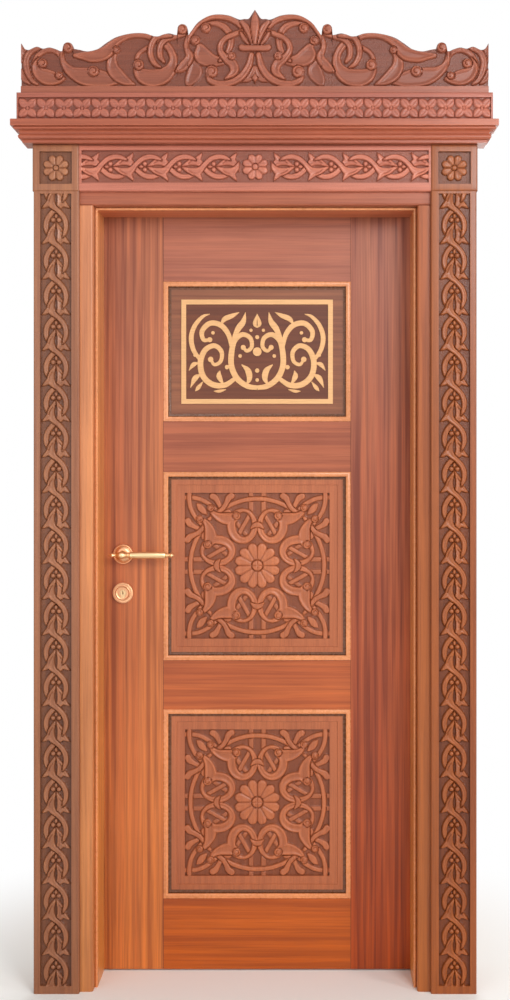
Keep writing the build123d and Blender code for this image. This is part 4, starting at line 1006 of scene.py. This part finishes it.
def make_inlay():
    """The pale design of the top panel: scrolls, leaves and dots of thin pale wood on the dark ground.

    Each strip stands a little higher than the last, so that no two tops lie in one plane where they cross.
    """
    low, high = corners("inlay_frame")
    seat, front = high[1], low[1]
    middle = (low + high) / 2
    wider, taller, bolder, ring_points, corner_count = 1.05, 1.16, 1.22, 24, 6
    below_front, lift_step, lift_most = 0.4, 0.03, 0.36
    thickness, bevel, dot_top = seat - front - below_front, 0.8, front - seat
    points, faces, start, lift = [], [], 0, 0.0
    first, ring = np.arange(corner_count), np.arange(ring_points)
    for side in (-1, 1):
        for path in inlay_strips():
            placed = [(middle[0] + side * x * wider, middle[2] + z * taller, half * bolder)
                      for x, z, half in path]
            shape, length = ribbon(placed, seat, thickness + lift, bevel)
            lift = (lift + lift_step) % lift_most
            points.append(shape)
            faces.append(grid_quads(length, corner_count, start, closed=True))
            faces.append(start + np.stack([first[::-1], (length - 1) * corner_count + first]))
            start += len(shape)
    turn = np.linspace(0, 2 * np.pi, ring_points, endpoint=False)
    for side in (-1, 1):
        for x, z, radius in INLAY_DOTS:
            if x == 0 and side > 0:
                continue
            for reach, depth in ((radius, 0.0), (radius, dot_top + bevel), (radius - bevel, dot_top)):
                points.append(np.stack([middle[0] + side * x * wider + reach * np.cos(turn),
                                        np.full(ring_points, seat + depth),
                                        middle[2] + z * taller + reach * np.sin(turn)], axis=-1))
            faces.append(grid_quads(3, ring_points, start, closed=True))
            faces.append(start + np.stack([ring[::-1], 2 * ring_points + ring]))
            start += 3 * ring_points
    piece = new_piece("inlay_scrolls", np.concatenate(points), faces, "pale_inlay_wood", "leaf")
    heal(piece)
    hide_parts("inlay_ornament")


# Pieces: brass

def turned(profile, centre, axis, segments=48):
    """A turned shape: the profile's radius swept round an axis, centre + axis * along + radius * ring."""
    along = np.array([point[0] for point in profile])[:, None]
    radius = np.array([point[1] for point in profile])[:, None]
    angle = np.linspace(0, 2 * np.pi, segments, endpoint=False)[None, :]
    ring = {"X": (0, 1, 2), "Y": (1, 2, 0)}[axis]
    shape = np.zeros((len(profile), segments, 3))
    shape[..., ring[0]] = along
    shape[..., ring[1]] = radius * np.cos(angle)
    shape[..., ring[2]] = radius * np.sin(angle)
    return (shape + np.asarray(centre)).reshape(-1, 3), len(profile)


def join_turned(name, shapes, material, body, ringed=False, segments=48):
    """One piece from several turned shapes, capped at both ends or, when ringed, closed through the bore."""
    points, faces, start = [], [], 0
    for shape, rows in shapes:
        first = start + np.arange(segments)
        last = first + (rows - 1) * segments
        faces.append(grid_quads(rows, segments, start, closed=True))
        if ringed:
            faces.append(np.stack([last, np.roll(last, -1), np.roll(first, -1), first], axis=-1))
        else:
            faces.append(np.stack([first[::-1], last]))
        points.append(shape)
        start += len(shape)
    piece = new_piece(name, np.concatenate(points), faces, material, body, crease=38)
    heal(piece)
    return piece


def bead(centre, radius, half_width, count=7):
    """Profile points of a bead on a given radius: half width times (-cos, 0.9 sin) over half a turn."""
    turn = np.linspace(0, np.pi, count)
    return [(centre - half_width * np.cos(a), radius + half_width * 0.9 * np.sin(a)) for a in turn]


def make_levers():
    """Both lever handles: a plain round grip between collars, pointed finials and a ball over the neck.

    The profiles are rows of place along the axis and radius. The grip's are measured from its left finial,
    from the neck in the middle and from its right finial.
    """
    grip_radius = 9.5
    spindle_low, spindle_high = corners("spindle")
    middle = (spindle_low + spindle_high) / 2
    for name, outward in (("front", -1), ("back", 1)):
        low, high = corners(f"lever_{name}")
        grip_y = low[1] + grip_radius if outward < 0 else high[1] - grip_radius
        neck_seat = (high if outward < 0 else low)[1]
        left, right = low[0] - middle[0], high[0] - middle[0]
        grip = [(left, 0.3), (left + 1.5, 1.8), (left + 5, 3.6), (left + 9, 5.8), (left + 12, 4.4)]
        grip += [(left + 14, 3.4)] + bead(left + 16.5, 3.0, 1.6) + [(left + 19, 3.4), (left + 20.5, 4.0)]
        grip += [(-9.0, 6.0), (-6.0, 8.6), (-2.0, 9.4), (2.0, 9.4), (6.0, 8.4), (9.0, 6.0), (11.0, 4.8)]
        grip += bead(13.0, 5.2, 1.8) + [(15.6, 4.6)] + bead(18.4, 6.4, 2.2)
        grip += [(21.0, 7.2), (22.5, 8.8), (25.0, 9.4), (60.0, grip_radius)]
        grip += [(right - 26.0, 9.4), (right - 23.8, 8.6), (right - 23.0, 6.6)]
        grip += bead(right - 21.0, 5.8, 1.6) + [(right - 18.6, 4.6), (right - 16.0, 4.2)]
        grip += bead(right - 14.0, 4.4, 1.5) + [(right - 11.5, 6.0), (right - 9.0, 7.4), (right - 6.5, 6.4)]
        grip += [(right - 3.5, 3.4), (right - 1.2, 1.8), (right, 0.3)]
        neck = [(outward * along, radius) for along, radius in (
            (0.0, 8.4), (10.0, 8.4), (12.0, 7.4), (18.0, 6.2), (28.0, 6.4), (34.0, 7.6), (43.0, 8.6))]
        shapes = [turned(grip, (middle[0], grip_y, middle[2]), "X"),
                  turned(neck, (middle[0], neck_seat, middle[2]), "Y")]
        piece = join_turned(f"lever_handle_{name}", shapes, "golden_brass", "lever")
        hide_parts(f"lever_{name}")


def make_roses():
    """The four roses: a turned rim and a groove, with a dome round the lever's neck or a ring round the lock.

    The profiles are rows of height off the leaf and radius, from the foot of the rim to the bore. The key
    roses' own plates stay, because the cylinder passes through them.
    """
    plate = 9.0
    rim = [(0.0, 27.5), (5.6, 27.5), (7.8, 27.0), (9.4, 25.8), (9.8, 24.4), (9.4, 23.0), (8.0, 21.9),
           (7.6, 21.3)]
    dome = [(8.0, 20.4), (9.8, 19.0), (11.2, 16.4), (12.2, 13.0), (12.4, 10.0), (12.0, 8.7), (0.0, 8.7)]
    ring = [(9.2, 21.0), (9.4, 20.0), (10.4, 19.2), (10.8, 18.2), (10.4, 17.2), (9.6, 16.2), (9.2, 15.4),
            (9.1, 14.4), (0.0, 14.4)]
    for kind, profile in (("lever", rim + dome), ("key", rim[:-2] + ring)):
        low, high = corners(f"{kind}_roses")
        middle = (low + high) / 2
        shapes = []
        for seat, outward in ((low[1] + plate, -1), (high[1] - plate, 1)):
            placed = [(outward * along, reach) for along, reach in profile]
            shapes.append(turned(placed, (middle[0], seat, middle[2]), "Y"))
        piece = join_turned(f"{kind}_rose_discs", shapes, "rose_brass", "leaf", ringed=True)
        if kind == "lever":
            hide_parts("lever_roses")


def make_screws():
    """Flat-headed screws with a socket in the hinge leaves, the lock's faceplate and the strike plate.

    The profile is rows of height off the plate and radius, from the head's buried rim to the socket's floor.
    """
    sides = 12
    profile = [(-1.2, 3.4), (0.02, 3.4), (0.08, 3.1), (0.08, 1.5), (-0.9, 1.4)]
    hinge_low, hinge_high = corners("hinge_door_leaves")
    pin_low, pin_high = corners("hinge_pins")
    axis = (pin_low[0] + pin_high[0]) / 2
    slack, hinge_tall, outer_rise, inner_rise, near, far = 0.2, 100.0, 38, 16, 9, 20
    bottom, top = hinge_low[2] + hinge_tall / 2, hinge_high[2] - hinge_tall / 2
    plates = {"leaf": [], "frame": []}
    for height in (bottom, (bottom + top) / 2, top):
        for depth, rise in ((near, -outer_rise), (far, -inner_rise), (far, inner_rise), (near, outer_rise)):
            plates["leaf"].append((axis - slack, 1, hinge_low[1] + depth, height + rise))
            plates["frame"].append((axis + slack, -1, hinge_low[1] + depth, height + rise))
    face_low, face_high = corners("lock_faceplate")
    strike_low, strike_high = corners("strike_plate")
    middle = (face_low[1] + face_high[1]) / 2
    face_end, strike_end = 9, 4.6
    for height in (face_low[2] + face_end, face_high[2] - face_end):
        plates["leaf"].append((face_low[0], -1, middle, height))
    for height in (strike_low[2] + strike_end, strike_high[2] - strike_end):
        plates["frame"].append((strike_high[0], 1, middle, height))
    for body, places in plates.items():
        shapes = []
        for face, outward, depth, height in places:
            placed = [(outward * along, reach) for along, reach in profile]
            shapes.append(turned(placed, (face, depth, height), "X", sides))
        join_turned(f"flat_screws_{body}", shapes, "lock_steel", body, segments=sides)


# Operators

def settings_of(context):
    """The three groups of settings on the scene."""
    scene = context.scene
    return scene.door_carving, scene.door_timber, scene.door_stage


class DOOR_OT_finishes(bpy.types.Operator):
    """Make every finish and dress the plain pieces with it"""
    bl_idname = "door.finishes"
    bl_label = "Finishes"

    def execute(self, context):
        _, colours, _ = settings_of(context)
        upper, lower = hex_code(colours.upper), hex_code(colours.lower)
        # Tones above and below, the grain's way, the strength of its ribbons and its shift
        for key, name, above, below, grain, streak, seed in (
                ("stile_timber", "upright", upper, lower, "Z", 0.9, 0.0),
                # Painted shade: the hinge stile is toned darker than the lock stile for the jamb's shadow on
                # it
                ("hinge_stile_shaded_timber", "shaded_hinge_side", "#A8664E", "#A8460A", "Z", 1.0, 3.1),
                ("rail_timber", "level", "#A4624D", "#B8560A", "X", 0.5, 1.7),
                # Painted light and shade: the left casing is toned lighter and the right darker, lit and
                # shaded copies of one timber
                ("casing_timber_left", "lit_left_casing", "#C7815A", "#C47C46", "Z", 0.5, 5.2),
                ("casing_timber_right", "shaded_right_casing", "#A45A32", "#A15824", "Z", 0.5, 4.1),
                ("casing_timber_head", "head_casing", "#A25A40", "#A25A40", "X", 0.4, 6.2),
                ("jamb_timber", "jamb", "#D78F58", "#D48A44", "Z", 0.5, 5.2),
                ("head_timber", "head", "#C5734C", "#C5734C", "X", 0.4, 6.2),
                ("cornice_timber", "cornice", "#A95B41", "#A95B41", "X", 0.35, 3.7)):
            MATERIALS[key] = timber(f"striped_mahogany_{name}", above, below, grain, streak, seed=seed)
        for key, name, above, below, grain, streak, seed in (
                ("level_timber", "frieze", "#B9705C", "#B9705C", "X", 0.3, 2.3),
                ("band_timber", "band", "#AA6250", "#AA6250", "X", 0.3, 2.3),
                # Painted light and shade: the two pilasters are one timber, toned lighter and greyer on the
                # left and darker and more orange on the right
                ("pilaster_timber_left", "left", "#9C6648", "#925C3E", "Z", 0.4, 4.4),
                ("pilaster_timber_right", "right", "#93532F", "#924C1E", "Z", 0.4, 7.9),
                ("crest_timber", "crest", "#A05C46", "#A05C46", "X", 0.3, 8.3),
                ("panel_timber", "panel", "#B46C4A", "#AC613C", "Z", 0.25, 9.4)):
            MATERIALS[key] = timber(f"carved_mahogany_{name}", above, below, grain, streak, carved=True,
                                    seed=seed)
        MATERIALS.update({
            "moulding_timber": timber("moulded_mahogany", "#B8744E", "#B4693F", "even", 0.15, shine=0.3,
                                      seed=1.2),
            # Painted highlight: the beads are toned lighter than the boards, and cut 0.4 deepens the painted
            # shade of their low parts
            "bead_timber_painted_highlight": timber("beaded_mahogany_painted_highlight", "#D89468", "#D68856", "even", 0.15, carved=True,
                                  shine=0.26, seed=1.2, cut=0.4),
            "dark_panel": stained_ground("stained_mahogany_ground", "#8A553C", "#C4AEA0", "inlay_frame", 5.0),
            "joint_shadow": joint_shadow("joint_shadow_line"),
            "pale_inlay_wood": pale_wood("maple_inlay", "#E2B07A"),
            "golden_brass": polished_metal("polished_golden_brass", "#F0CC9C", 0.3),
            "rose_brass": polished_metal("polished_copper_brass", "#E6AE84", 0.3),
            "lock_steel": polished_metal("brushed_lock_steel", "#A8A6A2", 0.38, wear="#7C7A76"),
        })
        finishes = {
            "stile_timber": ("lock_stile",),
            "hinge_stile_shaded_timber": ("hinge_stile",),
            "rail_timber": ("top_rail", "frieze_rail", "lock_rail", "bottom_rail", "crown_core"),
            "jamb_timber": ("jamb_left", "jamb_right", "rear_architrave_left", "rear_architrave_right"),
            "head_timber": ("head_jamb", "rear_architrave_head"),
            "band_timber": ("flower_band_end_left", "flower_band_end_right"),
            "moulding_timber": [f"rear_moulding_{part}" for part in PANELS],
            "dark_panel": ("panel_top",),
            "pale_inlay_wood": ("inlay_frame",),
            "golden_brass": ("cylinder_body", "cylinder_plug"),
            "rose_brass": ("key_roses",),
            "lock_steel": ("lock_case", "lock_faceplate", "strike_plate", "latch_bolt", "dead_bolt",
                           "follower", "spindle", "hinge_frame_leaves", "hinge_door_leaves", "hinge_pins"),
        }
        for name, nodes in finishes.items():
            for node in nodes:
                dress(node, name)
        return {"FINISHED"}


class DOOR_OT_surround(bpy.types.Operator):
    """Carve the pilasters, corner blocks and frieze, and run the casings and the jamb beads"""
    bl_idname = "door.surround"
    bl_label = "Carved surround"

    def execute(self, context):
        carving, _, _ = settings_of(context)
        make_pilasters(carving)
        make_corner_blocks(carving)
        make_frieze(carving)
        make_casings()
        make_jamb_beads()
        return {"FINISHED"}


class DOOR_OT_crown(bpy.types.Operator):
    """Run the cornice, and carve the flower band and the crest"""
    bl_idname = "door.crown"
    bl_label = "Crown"

    def execute(self, context):
        carving, _, _ = settings_of(context)
        make_cornice()
        make_flower_band(carving)
        make_crest(carving)
        return {"FINISHED"}


class DOOR_OT_panels(bpy.types.Operator):
    """Carve the square panels, run the mouldings, draw the joints and lay the inlay"""
    bl_idname = "door.panels"
    bl_label = "Panels"

    def execute(self, context):
        carving, _, _ = settings_of(context)
        make_square_panels(carving)
        make_panel_mouldings()
        make_joints()
        make_inlay()
        return {"FINISHED"}


class DOOR_OT_brass(bpy.types.Operator):
    """Turn the lever handles and the roses, and set the screws"""
    bl_idname = "door.brass"
    bl_label = "Brass"

    def execute(self, context):
        make_levers()
        make_roses()
        make_screws()
        return {"FINISHED"}


class DOOR_OT_stage(bpy.types.Operator):
    """Set the white surroundings, the floor, the lamps and the camera"""
    bl_idname = "door.stage"
    bl_label = "Stage"

    def execute(self, context):
        _, _, stage = settings_of(context)
        context.scene.view_settings.view_transform = "Standard"
        make_surroundings(context.scene)
        make_floor(context.scene)
        make_lamps()
        make_camera(context.scene, stage)
        return {"FINISHED"}


def area_light(name, place, aim, size, power):
    """A soft rectangular lamp at a place, aimed at a point, with its size in metres and power in watts."""
    data = bpy.data.lights.new(name, "AREA")
    data.shape = "RECTANGLE"
    data.size, data.size_y = size
    data.energy = power
    lamp = bpy.data.objects.new(name, data)
    bpy.context.scene.collection.objects.link(lamp)
    lamp.location = place
    direction = Vector(aim) - Vector(place)
    lamp.rotation_euler = direction.to_track_quat("-Z", "Y").to_euler()


def make_surroundings(scene):
    """A soft even light from all sides, which the camera and reflections see as white."""
    world = bpy.data.worlds.new("studio")
    scene.world = world
    world.use_nodes = True
    tree = world.node_tree
    tree.nodes.clear()
    path = add_node(tree, "ShaderNodeLightPath")
    seen = add_node(tree, "ShaderNodeMath", {"operation": "MAXIMUM"}, {
        0: path.outputs["Is Camera Ray"], 1: path.outputs["Is Glossy Ray"]})
    soft = add_node(tree, "ShaderNodeBackground", links={"Color": (1.0, 0.98, 0.95, 1), "Strength": 0.52})
    white = add_node(tree, "ShaderNodeBackground", links={"Color": (1, 1, 1, 1), "Strength": 1.0})
    mixed = add_node(tree, "ShaderNodeMixShader", links={
        0: seen.outputs["Value"], 1: soft.outputs["Background"], 2: white.outputs["Background"]})
    add_node(tree, "ShaderNodeOutputWorld", links={"Surface": mixed.outputs["Shader"]})


def make_floor(scene):
    """A pale floor that fades to white between two distances from the door, given in metres."""
    reach, fade_start, fade_end = 14.0, 0.55, 1.25
    mesh = bpy.data.meshes.new("floor")
    mesh.from_pydata([(-reach, -reach, 0), (reach, -reach, 0), (reach, reach, 0), (-reach, reach, 0)], [],
                     [[0, 1, 2, 3]])
    floor = bpy.data.objects.new("floor", mesh)
    scene.collection.objects.link(floor)
    material, tree, shader = new_material("pale_floor")
    shader.inputs["Base Color"].default_value = linear("#F4F3F0")
    shader.inputs["Roughness"].default_value = 0.9
    place = add_node(tree, "ShaderNodeTexCoord").outputs["Object"]
    away = add_node(tree, "ShaderNodeVectorMath", {"operation": "LENGTH"}, {0: place}).outputs["Value"]
    fade = add_node(tree, "ShaderNodeMapRange", {"interpolation_type": "SMOOTHSTEP"}, {
        "Value": away, "From Min": fade_start, "From Max": fade_end})
    camera_ray = add_node(tree, "ShaderNodeLightPath").outputs["Is Camera Ray"]
    share = add_node(tree, "ShaderNodeMath", {"operation": "MULTIPLY"}, {
        0: fade.outputs["Result"], 1: camera_ray})
    glow = add_node(tree, "ShaderNodeEmission", links={"Color": (1, 1, 1, 1), "Strength": 1.0})
    blend = add_node(tree, "ShaderNodeMixShader", links={
        0: share.outputs["Value"], 1: shader.outputs["BSDF"], 2: glow.outputs["Emission"]})
    tree.links.new(blend.outputs["Shader"], tree.nodes["Material Output"].inputs["Surface"])
    mesh.materials.append(material)


def make_lamps():
    """A key lamp from the right, a tall side window, a weak fill from the left and a lamp behind."""
    area_light("key", (1.7, -3.6, 2.9), (0, 0, 1.2), (1.4, 1.4), 84)
    area_light("side_window", (2.7, -1.9, 1.3), (0, 0, 1.2), (0.5, 2.4), 28)
    area_light("fill", (-2.2, -3.8, 1.6), (0, 0, 1.1), (2.2, 2.2), 28)
    area_light("rear", (0.5, 3.2, 2.4), (0, 0, 1.2), (2.0, 2.0), 60)


def make_camera(scene, stage):
    """The photographer's camera, level and square to the door, with its picture shifted down and left."""
    data = bpy.data.cameras.new("photographer")
    data.lens, data.sensor_width = stage.lens, 36.0
    data.shift_x, data.shift_y = -0.045, -0.05
    camera = bpy.data.objects.new("photographer", data)
    scene.collection.objects.link(camera)
    camera.location = (stage.camera_x, -stage.camera_back, stage.camera_height)
    camera.rotation_euler = (np.pi / 2, 0, 0)
    scene.camera = camera


class DOOR_PT_panel(bpy.types.Panel):
    """The door's settings and its pieces"""
    bl_idname = "DOOR_PT_panel"
    bl_label = "Carved door"
    bl_space_type = "VIEW_3D"
    bl_region_type = "UI"
    bl_category = "Carved door"

    def draw(self, context):
        for group in settings_of(context):
            box = self.layout.box()
            for name in group.__annotations__:
                box.prop(group, name)
        for operator in OPERATORS:
            self.layout.operator(operator.bl_idname)


SETTINGS = {"door_carving": CarvingSettings, "door_timber": TimberSettings, "door_stage": StageSettings}
OPERATORS = (DOOR_OT_finishes, DOOR_OT_surround, DOOR_OT_crown, DOOR_OT_panels, DOOR_OT_brass, DOOR_OT_stage)


def register():
    for group in SETTINGS.values():
        bpy.utils.register_class(group)
    for operator in OPERATORS:
        bpy.utils.register_class(operator)
    bpy.utils.register_class(DOOR_PT_panel)
    for name, group in SETTINGS.items():
        setattr(bpy.types.Scene, name, bpy.props.PointerProperty(type=group))


def unregister():
    for name in SETTINGS:
        delattr(bpy.types.Scene, name)
    bpy.utils.unregister_class(DOOR_PT_panel)
    for operator in reversed(OPERATORS):
        bpy.utils.unregister_class(operator)
    for group in reversed(list(SETTINGS.values())):
        bpy.utils.unregister_class(group)


def main():
    register()
    bpy.ops.door.finishes()
    bpy.ops.door.surround()
    bpy.ops.door.crown()
    bpy.ops.door.panels()
    bpy.ops.door.brass()
    bpy.ops.door.stage()


if __name__ == "__main__":
    main()
